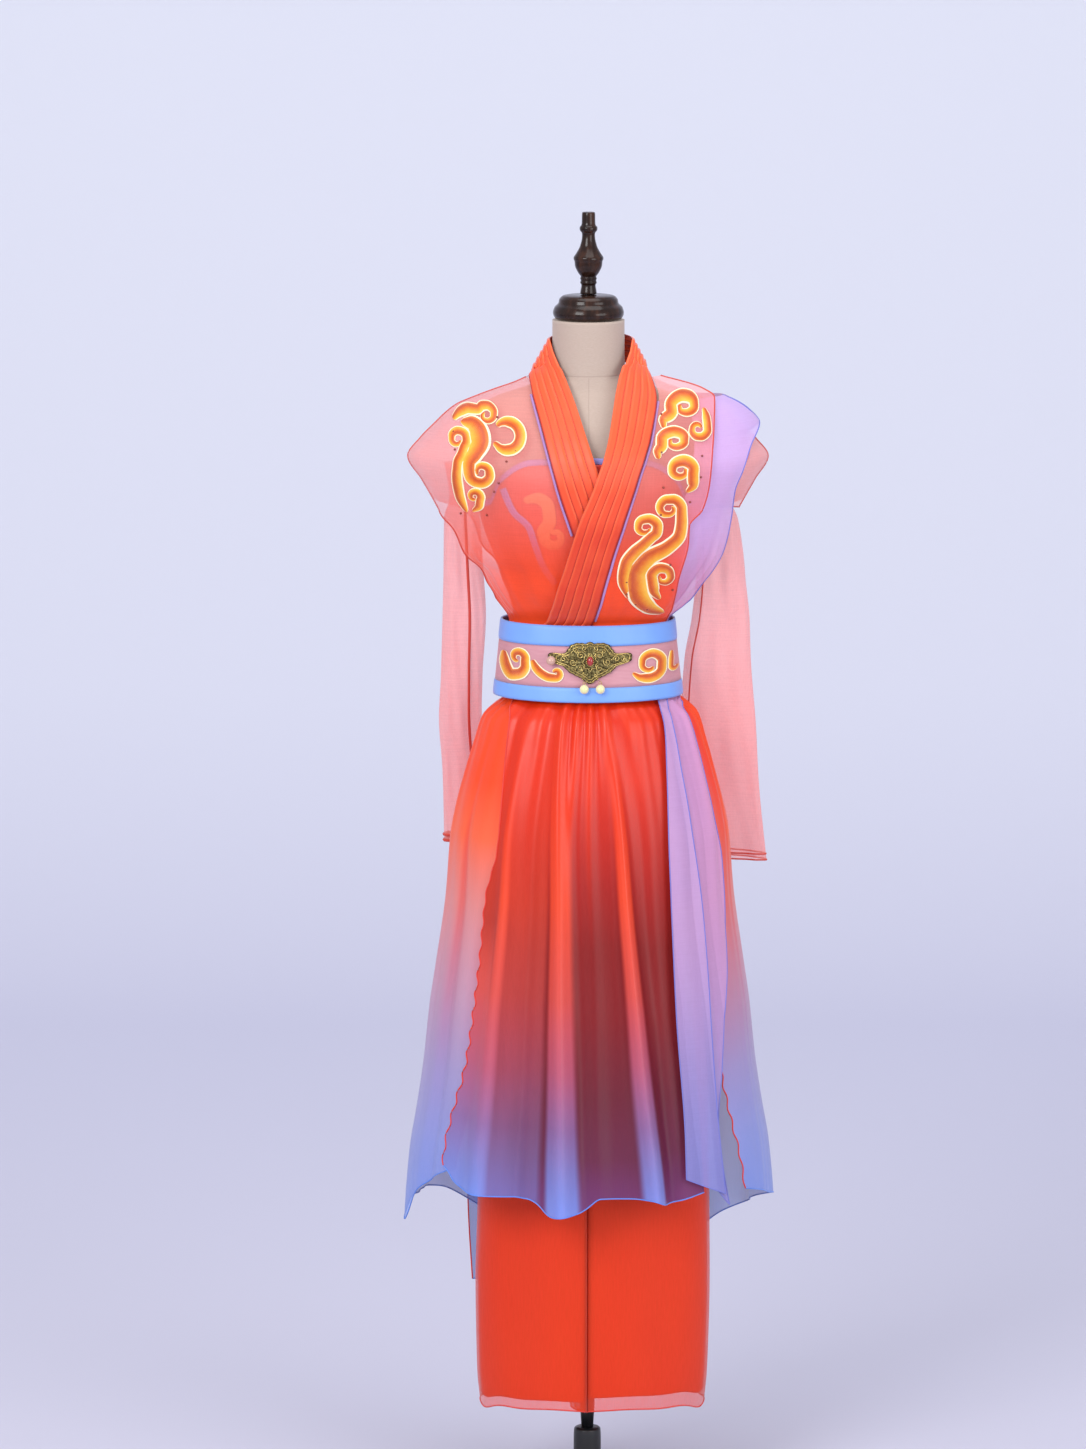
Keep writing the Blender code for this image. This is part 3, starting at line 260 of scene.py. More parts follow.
def place_piece(name, mesh, finish, node):
    """Links a finished mesh, gives it its finish and lets it stand for a CAD node."""
    mesh.materials.append(finish.material)
    piece = bpy.data.objects.new(name, mesh)
    scene.collection.objects.link(piece)
    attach(piece, "root")
    if node:
        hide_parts(node)
    return piece


def surface(name, grid, around=False, closed_rows=False, marks=None):
    """A mesh of quads on a grid of points: rows first, columns with the outer side to their left."""
    rows, columns = grid.shape[:2]
    index = np.arange(rows * columns).reshape(rows, columns)
    left = index if around else index[:, :-1]
    right = np.roll(index, -1, axis=1) if around else index[:, 1:]
    low, high = (slice(None, -1), slice(1, None))
    faces = np.stack([left[low], right[low], right[high], left[high]], -1).reshape(-1, 4).tolist()
    if closed_rows:
        faces.append(index[0][::-1].tolist())
        faces.append(index[-1].tolist())
    mesh = bpy.data.meshes.new(name)
    mesh.from_pydata(grid.reshape(-1, 3).tolist(), [], faces)
    mesh.shade_smooth()
    for mark, values in (marks or {}).items():
        stored = mesh.attributes.new(mark, "FLOAT", "POINT")
        stored.data.foreach_set("value", np.broadcast_to(values, (rows, columns)).ravel().astype(np.float32))
    return mesh


def cloth(node, grid, finish, around=False, marks=None):
    """A sewn piece that stands for its node: its surface, placed."""
    name = node + "_cloth"
    return place_piece(name, surface(name, grid, around, marks=marks), finish, node)


def rounded(profile, steps):
    """A profile with each corner cut by two short arcs: corners are averaged twice with their sides."""
    line = np.array(profile, float)
    for _ in range(steps):
        near = line[:-1] * 0.82 + line[1:] * 0.18
        far = line[:-1] * 0.18 + line[1:] * 0.82
        line = np.concatenate([line[:1], np.stack([near, far], 1).reshape(-1, 2), line[-1:]])
    return line


def turn_piece(name, profile, finish, columns=96, smoothing=2):
    """A turned piece: a profile of radius and height, from its top down, spun round the pole's line."""
    line = rounded(profile, smoothing)[::-1]
    turn = np.linspace(0, 2 * math.pi, columns, endpoint=False)
    radius = np.maximum(line[:, :1], 0.00005)
    grid = np.stack([radius * np.sin(turn), -radius * np.cos(turn), line[:, 1:] + 0 * turn], -1)
    return place_piece(name + "_turned", surface(name, grid, True, True), finish, name)


BASE_RADIUS = 0.190
BASE_HEIGHT = 0.014
SOCKET_TOP = 0.091
TORSO_BOTTOM = 0.900
POLE_RADIUS = 0.0115
turn_piece("base_plate", (
    (0.0, BASE_HEIGHT), (0.060, BASE_HEIGHT), (BASE_RADIUS - 0.006, 0.0085), (BASE_RADIUS, 0.004),
    (BASE_RADIUS, 0.0), (0.0, 0.0),
), black)
turn_piece("base_socket", (
    (0.0, SOCKET_TOP), (0.0150, SOCKET_TOP), (0.0186, SOCKET_TOP - 0.003), (0.0186, 0.045),
    (0.0230, 0.036), (0.0320, BASE_HEIGHT + 0.004), (0.0340, BASE_HEIGHT + SEAM), (0.0, BASE_HEIGHT + SEAM),
), black)
turn_piece("pole", (
    (0.0, TORSO_BOTTOM - SEAM), (POLE_RADIUS, TORSO_BOTTOM - SEAM), (POLE_RADIUS, SOCKET_TOP + SEAM),
    (0.0, SOCKET_TOP + SEAM),
), black)

# Torso: papier-mache padded with wadding and covered in unbleached linen, sewn down the middle
# of the front and the back and round the foot of the neck.
TORSO_TURN = 160


def through(at, values, where):
    """A smooth curve through a table's rows that never overshoots them."""
    at = np.asarray(at, float)
    values = np.asarray(values, float)
    where = np.clip(np.asarray(where, float), at[0], at[-1])
    width = np.diff(at)
    slope = np.diff(values) / width
    tangent = np.zeros(len(at))
    tangent[0] = slope[0]
    tangent[-1] = slope[-1]
    before = slope[:-1]
    after = slope[1:]
    same = before * after > 0
    total = np.where(same, before + after, 1.0)
    tangent[1:-1] = np.where(same, 2 * before * after / total, 0.0)
    row = np.clip(np.searchsorted(at, where, side="right") - 1, 0, len(width) - 1)
    t = (where - at[row]) / width[row]
    rise = values[row] * (1 + 2 * t) * (1 - t) ** 2 + values[row + 1] * t * t * (3 - 2 * t)
    lean = tangent[row] * t * (1 - t) ** 2 - tangent[row + 1] * t * t * (1 - t)
    return rise + lean * width[row]


class Ring:
    """Level oval sections, one row for each height: height, half width, depth in front, depth behind.

    An angle of 0 is the middle front, 90 degrees the side at +X.
    """

    def __init__(self, rows):
        self.rows = np.array(sorted(rows))

    def radius(self, column, height):
        return through(self.rows[:, 0], self.rows[:, column], height)

    def spot(self, angle, height, lift=0.0):
        """The point at an angle and a height, moved out along the surface's normal."""
        angle, height, lift = np.broadcast_arrays(angle, height, lift)
        step = 0.0005
        sine = np.sin(angle)
        cosine = np.cos(angle)
        front = cosine > 0
        wide = self.radius(1, height)
        deep = np.where(front, self.radius(2, height), self.radius(3, height))
        wide_up = (self.radius(1, height + step) - self.radius(1, height - step)) / (2 * step)
        up = np.where(front, self.radius(2, height + step), self.radius(3, height + step))
        down = np.where(front, self.radius(2, height - step), self.radius(3, height - step))
        point = np.stack([wide * sine, -deep * cosine, height + 0 * wide], -1)
        rise = -wide * (up - down) / (2 * step) * cosine ** 2 - deep * wide_up * sine ** 2
        normal = np.stack([deep * sine, -wide * cosine, rise], -1)
        normal /= np.linalg.norm(normal, axis=-1, keepdims=True)
        return point + normal * lift[..., None]

    def angle(self, x, height):
        """The angle in front where the section reaches x."""
        return np.arcsin(np.clip(x / self.radius(1, height), -0.99998, 0.99998))


FORM = Ring((
    (0.900, 0.142, 0.086, 0.096), (0.950, 0.146, 0.089, 0.099), (1.020, 0.134, 0.085, 0.093),
    (1.100, 0.103, 0.065, 0.071), (1.150, 0.095, 0.057, 0.063), (1.200, 0.094, 0.055, 0.059),
    (1.270, 0.113, 0.077, 0.077), (1.330, 0.136, 0.099, 0.088), (1.380, 0.148, 0.103, 0.090),
    (1.420, 0.156, 0.096, 0.088), (1.460, 0.161, 0.082, 0.080), (1.480, 0.154, 0.071, 0.072),
    (1.500, 0.124, 0.059, 0.061), (1.515, 0.080, 0.0515, 0.0525), (1.530, 0.0500, 0.0490, 0.0495),
    (1.560, 0.0480, 0.0478, 0.0478), (1.6115, 0.0479, 0.0479, 0.0479),
))
NECK_TOP = 1.6025
NECK_SEAM = 1.531
linen = Finish("form_linen_weave", 0.85, Sheen_Weight=0.25, Sheen_Roughness=0.5)
warp, weft = (
    linen.node("ShaderNodeTexWave", {"bands_direction": way}, Vector=linen.place(), Scale=380.0,
               Distortion=1.6)
    for way in ("Z", "X"))
thread = warp * weft
slub = linen.noise(260.0, (1.0, 1.0, 5.0), 4.0)
down_front = 1 - linen.step(linen.node("ShaderNodeMath", {"operation": "ABSOLUTE"}, linen.axis("X")),
                            0.0003, 0.0009)
down_front = down_front * (1 - linen.step(linen.axis("Z"), NECK_SEAM - 0.004, NECK_SEAM))
round_neck = 1 - linen.step(
    linen.node("ShaderNodeMath", {"operation": "ABSOLUTE"}, linen.axis("Z") - NECK_SEAM), 0.0004, 0.0011)
sewn = linen.node("ShaderNodeMath", {"operation": "MAXIMUM"}, down_front, round_neck)
ground = linen.mix(slub, linear(189, 171, 158), linear(173, 155, 141))
ground = linen.mix(thread * 0.25, ground, linear(162, 143, 128))
linen.feed("Base Color", linen.mix(sewn * 0.2, ground, linear(126, 104, 92)))
linen.bump(thread * 0.5 + slub - sewn * 2.0, 0.25, 0.0006)


def torso_skin():
    """The form's sections at 220 heights, all round, flat across the bottom and the neck."""
    turn = np.linspace(0, 2 * math.pi, TORSO_TURN, endpoint=False)[None, :]
    height = np.linspace(TORSO_BOTTOM, NECK_TOP, 220)[:, None]
    sag = 0.0004 * np.sin(5 * turn + 30 * height) * np.clip((1.50 - height) / 0.1, 0, 1)
    return surface("form_torso_skin", FORM.spot(turn, height, sag), around=True, closed_rows=True)


place_piece("form_torso_skin", torso_skin(), linen, "form_torso")

# Neck cap and finial: turned from one close-grained wood each, stained near black and lacquered.
# The cap covers the raw top of the neck, and the finial is screwed into it.
lacquer = Finish("dark_lacquered_wood", 0.3, Coat_Weight=0.2, Coat_Roughness=0.08, Specular_IOR_Level=0.2)
grain = lacquer.noise(16.0, (7.0, 7.0, 0.9), 6.0)
lacquer.feed("Base Color", lacquer.ramp(grain, (
    (0.30, linear(24, 14, 10)), (0.52, linear(40, 23, 16)), (0.70, linear(62, 37, 25)),
)))
lacquer.feed("Roughness", 0.14 + 0.16 * grain)
lacquer.bump(grain, 0.05, 0.0005)
CAP_BOTTOM = NECK_TOP + SEAM
FINIAL_TOP = 1.7455
turn_piece("neck_cap", (
    (0.0, 1.6360), (0.0250, 1.6360), (0.0345, 1.6345), (0.0390, 1.6300), (0.0398, 1.6240),
    (0.0450, 1.6200), (0.0474, 1.6130), (0.0466, 1.6080), (0.0432, CAP_BOTTOM), (0.0, CAP_BOTTOM),
), lacquer, 128)
turn_piece("finial", (
    (0.0, FINIAL_TOP), (0.0075, FINIAL_TOP), (0.0088, FINIAL_TOP - 0.0015), (0.0090, 1.7283),
    (0.0118, 1.7256), (0.0118, 1.7214), (0.0084, 1.7172), (0.0088, 1.7093), (0.0115, 1.6991),
    (0.0165, 1.6903), (0.0198, 1.6857), (0.0198, 1.6824), (0.0186, 1.6806), (0.0180, 1.6731),
    (0.0140, 1.6648), (0.0098, 1.6597), (0.0113, 1.6574), (0.0100, 1.6546), (0.0113, 1.6518),
    (0.0092, 1.6485), (0.0105, 1.6416), (0.0112, 1.6363), (0.0, 1.6363),
), lacquer, 96)

# Camisole: a strapless tube of orange satin that hugs the form, with its top edge bound in
# lilac-blue bias strip, a slanting strip down to the waist and a small worked scroll on the chest.
CAMISOLE_LIFT = 0.0038
CAMISOLE_BOTTOM = 1.142
CLOTH_WALL = 0.0012


def satin(name, shade, deep, rough=0.42, thread_scale=900.0):
    """Dyed satin: fine lengthwise threads, a little lighter and darker in patches, with a soft sheen."""
    made = Finish(name, rough, Sheen_Weight=0.3, Sheen_Roughness=0.35, Specular_IOR_Level=0.35)
    slubs = made.noise(thread_scale, (1.0, 1.0, 0.06), 2.0)
    patches = made.noise(26.0, (1.0, 1.0, 0.5), 3.0)
    dyed = made.mix(patches, shade, deep)
    made.feed("Base Color", made.mix(slubs * 0.35, dyed, deep))
    made.feed("Roughness", rough - 0.08 + 0.2 * slubs)
    made.bump(slubs + patches * 0.6, 0.12, 0.0004)
    return made


camisole_satin = satin("camisole_orange_satin", linear(238, 62, 30), linear(212, 40, 22), 0.36)
bias_lilac = satin("lilac_bias_satin", linear(158, 150, 214), linear(132, 128, 200), 0.42)


def camisole_top(angle):
    """The top edge: level in front, curving down to the side seams and lower behind."""
    turn = np.abs(np.degrees((angle + math.pi) % (2 * math.pi) - math.pi))
    return through((0, 28, 48, 62, 95, 180), (1.420, 1.417, 1.394, 1.362, 1.352, 1.352), turn)


def pulls(angle, height):
    """Upright pull lines in a fitted cloth: sharp ridges of a few sines that come and go with height."""
    slow = 0.5 + 0.5 * np.sin(3.0 * angle + 9.0 * height)
    ridges = np.abs(np.sin(9.5 * angle + 2.4 * np.sin(6.0 * height))) ** 3
    fine = np.abs(np.sin(17.0 * angle - 3.0 * height)) ** 5
    return 0.0011 * slow * ridges + 0.0006 * (1 - slow) * fine


def camisole_tube():
    """The form's sections with pull lines that fade out at the bound edge."""
    turn = np.linspace(0, 2 * math.pi, 240, endpoint=False)[None, :]
    up = np.linspace(0, 1, 90)[:, None]
    height = CAMISOLE_BOTTOM * (1 - up) + (camisole_top(turn) - SEAM) * up
    ease = np.clip((camisole_top(turn) - height) / 0.05, 0, 1) * np.clip((height - 1.20) / 0.03, 0, 1)
    return FORM.spot(turn, height, CAMISOLE_LIFT + ease * pulls(turn, height))


def walled(piece, wall):
    """Gives a sewn piece its wall, outward from the grid."""
    shell = piece.modifiers.new("wall", "SOLIDIFY")
    shell.thickness = wall
    shell.offset = 1.0
    return piece


camisole_cloth = walled(
    cloth("camisole_body", camisole_tube(), camisole_satin, True), CLOTH_WALL)


def camisole_rim():
    """A strip of 7.5 mm on the top edge, crowned across its width."""
    turn = np.linspace(0, 2 * math.pi, 300, endpoint=False)[None, :]
    up = np.linspace(0, 1, 7)[:, None]
    crown = 0.0007 * np.sin(math.pi * up)
    return FORM.spot(turn, camisole_top(turn) + 0.0075 * up, CAMISOLE_LIFT + crown)


rim = walled(cloth("camisole_binding", camisole_rim(), bias_lilac, True), CLOTH_WALL)


def strip_path(path, count):
    """Points at even steps along a path of x and height rows, their unit tangent and the run in metres."""
    path = np.array(path, float)
    run = np.concatenate([[0], np.cumsum(np.hypot(*np.diff(path, axis=0).T))])
    along = np.linspace(0, run[-1], count)
    x = through(run, path[:, 0], along)
    z = through(run, path[:, 1], along)
    tangent = np.stack([np.gradient(x), np.gradient(z)], -1)
    tangent /= np.linalg.norm(tangent, axis=1, keepdims=True)
    return x, z, tangent, along


def strip(name, ring, path, width, lift, count, crown=0.0005):
    """A flat strip on a ring: offsets across the path, crowned by a sine."""
    x, z, tangent, along = strip_path(path, count)
    across = np.linspace(-0.5, 0.5, 9)[None, :]
    xs = x[:, None] - tangent[:, 1:] * across * width * -1
    zs = z[:, None] + tangent[:, :1] * across * width * -1
    base = lift(xs, zs) if callable(lift) else lift
    return surface(name, ring.spot(ring.angle(xs, zs), zs, base + crown * np.cos(math.pi * across)))


BAND_PATH = (
    (-0.1100, 1.3860), (-0.0960, 1.3560), (-0.0765, 1.3370), (-0.0690, 1.3160), (-0.0575, 1.2840),
    (-0.0420, 1.2600),
)
slant = walled(place_piece(
    "camisole_band_cloth",
    strip("camisole_band_cloth", FORM, BAND_PATH, 0.0085, CAMISOLE_LIFT + CLOTH_WALL + SEAM + 0.0006, 80),
    bias_lilac, "camisole_band"), CLOTH_WALL * 0.6)

# Vest: coral organza cut in two fronts and a back with cut-on cap sleeves. It blouses a little
# over the belt, and its raw edges are turned in a narrow dark coral roll.
ROLL = 0.0010
FINE_ROLL = 0.0009
VEST_BOTTOM = 1.186
BELT_TOP = 1.2028
SIDE = math.radians(89.8)
DRAPE_LIFT = 0.0036
DRAPE_BACK_LIFT = 0.0068
RIGHT_LIFT = 0.0084
TIGHT = 0.37
VEST = Ring((
    (1.180, 0.1055, 0.0635, 0.0705), (1.2028, 0.1060, 0.0640, 0.0710), (1.2272, 0.1205, 0.0770, 0.0810),
    (1.2500, 0.1370, 0.0900, 0.0900), (1.2738, 0.1520, 0.0970, 0.0940), (1.2936, 0.1740, 0.1030, 0.0970),
    (1.3275, 0.1900, 0.1100, 0.0995), (1.3465, 0.1985, 0.1125, 0.1000), (1.3900, 0.2215, 0.1130, 0.1000),
    (1.4210, 0.2395, 0.1080, 0.0980), (1.4440, 0.2235, 0.0990, 0.0930), (1.4650, 0.2030, 0.0880, 0.0850),
    (1.4800, 0.1875, 0.0790, 0.0780), (1.4900, 0.1740, 0.0730, 0.0720), (1.5000, 0.1510, 0.0665, 0.0665),
    (1.5100, 0.1250, 0.0600, 0.0600), (1.5200, 0.0970, 0.0545, 0.0550), (1.5300, 0.0760, 0.0495, 0.0500),
    (1.5400, 0.0560, 0.0470, 0.0480), (1.5600, 0.0478, 0.0460, 0.0470), (1.5860, 0.0468, 0.0455, 0.0465),
))
WIDER = {1.2028: 0.1065, 1.2272: 0.1300, 1.2500: 0.1480, 1.2738: 0.1680, 1.2936: 0.1810, 1.3275: 0.1930,
         1.4440: 0.2320, 1.4650: 0.2240, 1.4800: 0.2110, 1.4900: 0.1970, 1.5000: 0.1740, 1.5100: 0.1420,
         1.5200: 0.1080}
DRAPE = Ring([(z, WIDER.get(round(z, 4), a), f, b) for z, a, f, b in VEST.rows.tolist()])


def organza(name, shade, deep, cover, low=None, span=(0.46, 0.84), fuller=(0.0, 0.0, 1.0)):
    """Sheer organza: crossing threads that thin and thicken its cover, with a dry silky glint.

    Light that comes through from behind is given as a faint glow. A low colour dyes the lower end,
    over a span of heights, and the cloth may be fuller there: how much more cover, from and to.
    """
    made = Finish(name, 0.45, Sheen_Weight=0.3, Sheen_Roughness=0.3, Specular_IOR_Level=0.3,
                  Emission_Strength=0.12)
    upright = made.noise(700.0, (1.0, 1.0, 0.05), 2.0)
    level_threads = made.noise(700.0, (0.05, 0.05, 1.0), 2.0)
    cloud = made.noise(14.0, (1.0, 1.0, 0.45), 3.0)
    dyed = made.mix(upright * 0.3, made.mix(cloud, shade, deep), deep)
    if low:
        raised = made.step(made.axis("Z") + 0.03 * (cloud - 0.5), *span)
        dyed = made.mix(raised, low, dyed)
        cover = cover + fuller[0] * (1 - made.step(made.axis("Z"), fuller[1], fuller[2]))
    made.feed("Base Color", dyed)
    made.feed("Emission Color", dyed)
    made.feed("Alpha", cover + 0.10 * (upright + level_threads - 1.0) + 0.08 * (cloud - 0.5))
    made.bump(upright + level_threads + cloud, 0.10, 0.0003)
    return made


coral_organza = organza("coral_organza_weave", linear(246, 158, 150), linear(238, 136, 130), 0.47,
                        linear(236, 74, 36), (1.26, 1.46), (0.46, 1.21, 1.38))
coral_roll = satin("coral_rolled_edge", linear(216, 82, 66), linear(192, 60, 50), 0.5)


def layer(lift, height):
    """A layer's lift, drawn in where the belt presses the cloth together."""
    return lift * (1 - TIGHT * np.clip((1.2350 - height) / 0.028, 0, 1))


def gather(angle, height):
    """Soft upright gathers above the belt, gone at the belt's edge and at the bust."""
    swell = np.clip((height - BELT_TOP) / 0.03, 0, 1) * np.clip((1.335 - height) / 0.06, 0, 1)
    soft = 0.0010 * (1 + np.sin(angle * 11))
    sharp = 0.0012 * np.abs(np.sin(angle * 19 + 1.7 * np.sin(angle * 5))) ** 3
    return swell * (soft + sharp)


def crease(angle, height):
    """Long shallow creases that fall from the shoulders, a sum of three slanting sines."""
    fade = np.clip((height - 1.28) / 0.05, 0, 1) * np.clip((1.52 - height) / 0.05, 0, 1)
    waves = np.sin(9 * angle + 14 * height) + np.sin(14 * angle - 22 * height)
    waves = waves + np.sin(5 * angle + 38 * height)
    return 0.00045 * fade * (waves + 1.6)


def edge_at(ring, rows):
    """An edge in front, from rows of height and x."""
    rows = np.array(sorted(rows))
    return lambda height: ring.angle(through(rows[:, 0], rows[:, 1], height), height)


def level(value):
    """The same height or angle everywhere."""
    return lambda across: value + 0 * across


def panel(ring, low, high, left, right, lift, rows, columns):
    """A panel's points on a ring, with the angle and the height of each: blends of its four edges."""
    across = np.linspace(0, 1, columns)[None, :]
    up = np.linspace(0, 1, rows)[:, None]
    height = low(across) * (1 - up) + high(across) * up
    angle = left(height) * (1 - across) + right(height) * across
    return ring.spot(angle, height, lift(angle, height)), angle, height


def rolled_edge(name, paths, radius, finish):
    """Thin round rolls along lines of points: a six-sided section carried along each line."""
    points = []
    faces = []
    start = 0
    section = np.linspace(0, 2 * math.pi, 6, endpoint=False)
    for path in paths:
        tangent = np.gradient(path, axis=0)
        tangent /= np.linalg.norm(tangent, axis=1, keepdims=True)
        helper = np.where(np.abs(tangent[:, 2:]) > 0.9, [[1.0, 0.0, 0.0]], [[0.0, 0.0, 1.0]])
        side = np.cross(tangent, helper)
        side /= np.linalg.norm(side, axis=1, keepdims=True)
        rise = np.cross(side, tangent)
        ring = path[:, None] + radius * (
            side[:, None] * np.cos(section)[None, :, None] + rise[:, None] * np.sin(section)[None, :, None])
        index = start + np.arange(len(path) * 6).reshape(len(path), 6)
        after = np.roll(index, -1, axis=1)
        faces += np.stack([index[:-1], index[1:], after[1:], after[:-1]], -1).reshape(-1, 4).tolist()
        faces.append(index[0].tolist())
        faces.append(index[-1][::-1].tolist())
        points.append(ring.reshape(-1, 3))
        start += len(path) * 6
    mesh = bpy.data.meshes.new(name)
    mesh.from_pydata(np.concatenate(points).tolist(), [], faces)
    mesh.shade_smooth()
    return place_piece(name, mesh, finish, None)


VEST_EDGE_LEFT = (
    (1.186, -0.1045), (1.2028, -0.1050), (1.2272, -0.1185), (1.2500, -0.1310), (1.2738, -0.1420),
    (1.2936, -0.1635), (1.3275, -0.1786), (1.3465, -0.1983),
)
SHOULDER_START = 1.3470


def outer_edge_left(height):
    """The vest's armhole edge, then the cap's edge and the shoulder seam."""
    return np.where(height < SHOULDER_START, edge_at(VEST, VEST_EDGE_LEFT)(height), -SIDE)


VEST_TO_COLLAR_LEFT = (
    (1.186, -0.010), (1.250, -0.006), (1.320, -0.012), (1.375, -0.028), (1.450, -0.052),
    (1.500, -0.062), (1.528, -0.068),
)
left_points, _, _ = panel(
    VEST, level(VEST_BOTTOM), level(1.5265), outer_edge_left, edge_at(VEST, VEST_TO_COLLAR_LEFT),
    lambda a, h: gather(a, h) + crease(a, h), 190, 110)
vest_left = cloth("vest_front_left", left_points, coral_organza)
left_roll = rolled_edge("vest_left_roll", [left_points[2:, 0]], ROLL, coral_roll)

VEST_TO_COLLAR_RIGHT = (
    (1.186, 0.001), (1.213, 0.0075), (1.252, 0.0181), (1.3024, 0.0318), (1.353, 0.0483),
    (1.402, 0.0645), (1.450, 0.0810), (1.480, 0.0870), (1.500, 0.0910), (1.528, 0.0790),
)
VEST_EDGE_RIGHT = (
    (1.186, 0.0960), (1.204, 0.0990), (1.226, 0.1070), (1.262, 0.1126), (1.315, 0.1273),
    (1.340, 0.1294), (1.361, 0.1461), (1.395, 0.1554), (1.444, 0.1608), (1.496, 0.1640),
    (1.505, 0.1500), (1.5235, 0.0900),
)
right_points, _, _ = panel(
    DRAPE, level(VEST_BOTTOM), level(1.5225), edge_at(DRAPE, VEST_TO_COLLAR_RIGHT),
    edge_at(DRAPE, VEST_EDGE_RIGHT),
    lambda a, h: layer(RIGHT_LIFT, h) + gather(a, h) + crease(a, h), 190, 80)
vest_right = cloth("vest_front_right", right_points, coral_organza)
right_roll = rolled_edge("vest_right_roll", [right_points[:, -1]], ROLL, coral_roll)

BACK_SHARE = 0.86


def back_left(height):
    """The back's edge at -X, as an angle that goes on past the middle of the back."""
    share = np.clip((height - 1.345) / 0.020, 0, 1)
    low = -math.pi - VEST.angle(through(*np.array(sorted(VEST_EDGE_LEFT)).T, height) * BACK_SHARE, height)
    return low * (1 - share) + (SIDE - math.pi) * share


def back_right(height):
    """The back's edge at +X."""
    return -2 * math.pi - back_left(height)


back_points, _, _ = panel(
    VEST, level(VEST_BOTTOM), level(1.5285), back_right, back_left,
    lambda a, h: gather(a, h) + crease(a, h) * np.clip((1.50 - h) / 0.03, 0, 1), 170, 150)
vest_behind = cloth("vest_back", back_points, coral_organza)
back_roll = rolled_edge("vest_back_roll", [back_points[:80, 0], back_points[:80, -1]], ROLL, coral_roll)

CAP_RIGHT_IN = ((1.352, 0.158), (1.400, 0.170), (1.440, 0.172), (1.470, 0.172), (1.488, 0.166))
cap_points, _, _ = panel(
    VEST, lambda u: 1.352 + 0.010 * (1 - u), lambda u: 1.452 - 0.002 * u,
    edge_at(VEST, CAP_RIGHT_IN), level(SIDE), lambda a, h: 0.0004 * np.sin(60 * h), 60, 40)
cap = cloth("cap_right", cap_points, coral_organza)
cap_roll = rolled_edge("cap_right_roll", [cap_points[:, -1], cap_points[0]], ROLL, coral_roll)

# Shoulder drape: a lavender-pink organza tail sewn under the vest's armhole edge. It hangs from
# the shoulder to the belt in front and behind, with a fine blue roll along its free edge.
DRAPE_IN = (
    (1.186, 0.086), (1.226, 0.092), (1.262, 0.096), (1.315, 0.108), (1.361, 0.122), (1.444, 0.138),
    (1.495, 0.132), (1.500, 0.128),
)
DRAPE_OUT = (
    (1.186, 0.1040), (1.2028, 0.1050), (1.2353, 0.1330), (1.257, 0.1487), (1.2787, 0.1648),
    (1.303, 0.1769), (1.3465, 0.1869), (1.383, 0.1916), (1.4075, 0.2010), (1.4387, 0.2130),
    (1.465, 0.2235), (1.480, 0.2104), (1.490, 0.1964), (1.500, 0.1750),
)
lavender_organza = organza("lavender_organza_weave", linear(204, 178, 226), linear(188, 156, 212), 0.80,
                           linear(198, 124, 166), (1.19, 1.36), (0.06, 1.20, 1.30))
blue_roll = satin("blue_rolled_edge", linear(126, 130, 204), linear(104, 110, 192), 0.45)
drape_points, _, _ = panel(
    DRAPE, level(VEST_BOTTOM), level(1.499), edge_at(DRAPE, DRAPE_IN), edge_at(DRAPE, DRAPE_OUT),
    lambda a, h: layer(DRAPE_LIFT, h) + gather(a, h) + 0.7 * crease(a, h), 190, 80)
drape = cloth("drape_front", drape_points, lavender_organza)
drape_roll = rolled_edge("drape_front_roll", [drape_points[:, -1]], FINE_ROLL, blue_roll)


# Height and angle of the drape's edge behind the shoulder
DRAPE_BEHIND = (
    (1.186, 114), (1.400, 118), (1.440, 118), (1.455, 108), (1.465, 96), (1.475, 90.2), (1.500, 90.2),
)


def drape_back_outer(height):
    """The drape's edge behind the shoulder, from the side seam to the shoulder seam."""
    return np.radians(through(*np.array(DRAPE_BEHIND).T, height))


def drape_back_lift(angle, height):
    """Free of the back, and close to it along the shoulder seam."""
    free = np.clip((np.degrees(angle) - 92) / 16, 0, 1)
    return layer(DRAPE_LIFT + (DRAPE_BACK_LIFT - DRAPE_LIFT) * free, height) + gather(angle, height)


tail_points, _, _ = panel(
    DRAPE, level(VEST_BOTTOM), level(1.495), drape_back_outer, level(math.radians(152)),
    lambda a, h: drape_back_lift(a, h) + 0.7 * crease(a, h), 150, 60)
tail = cloth("drape_back", tail_points, lavender_organza)
tail_roll = rolled_edge("drape_back_roll", [tail_points[:, 0]], FINE_ROLL, blue_roll)

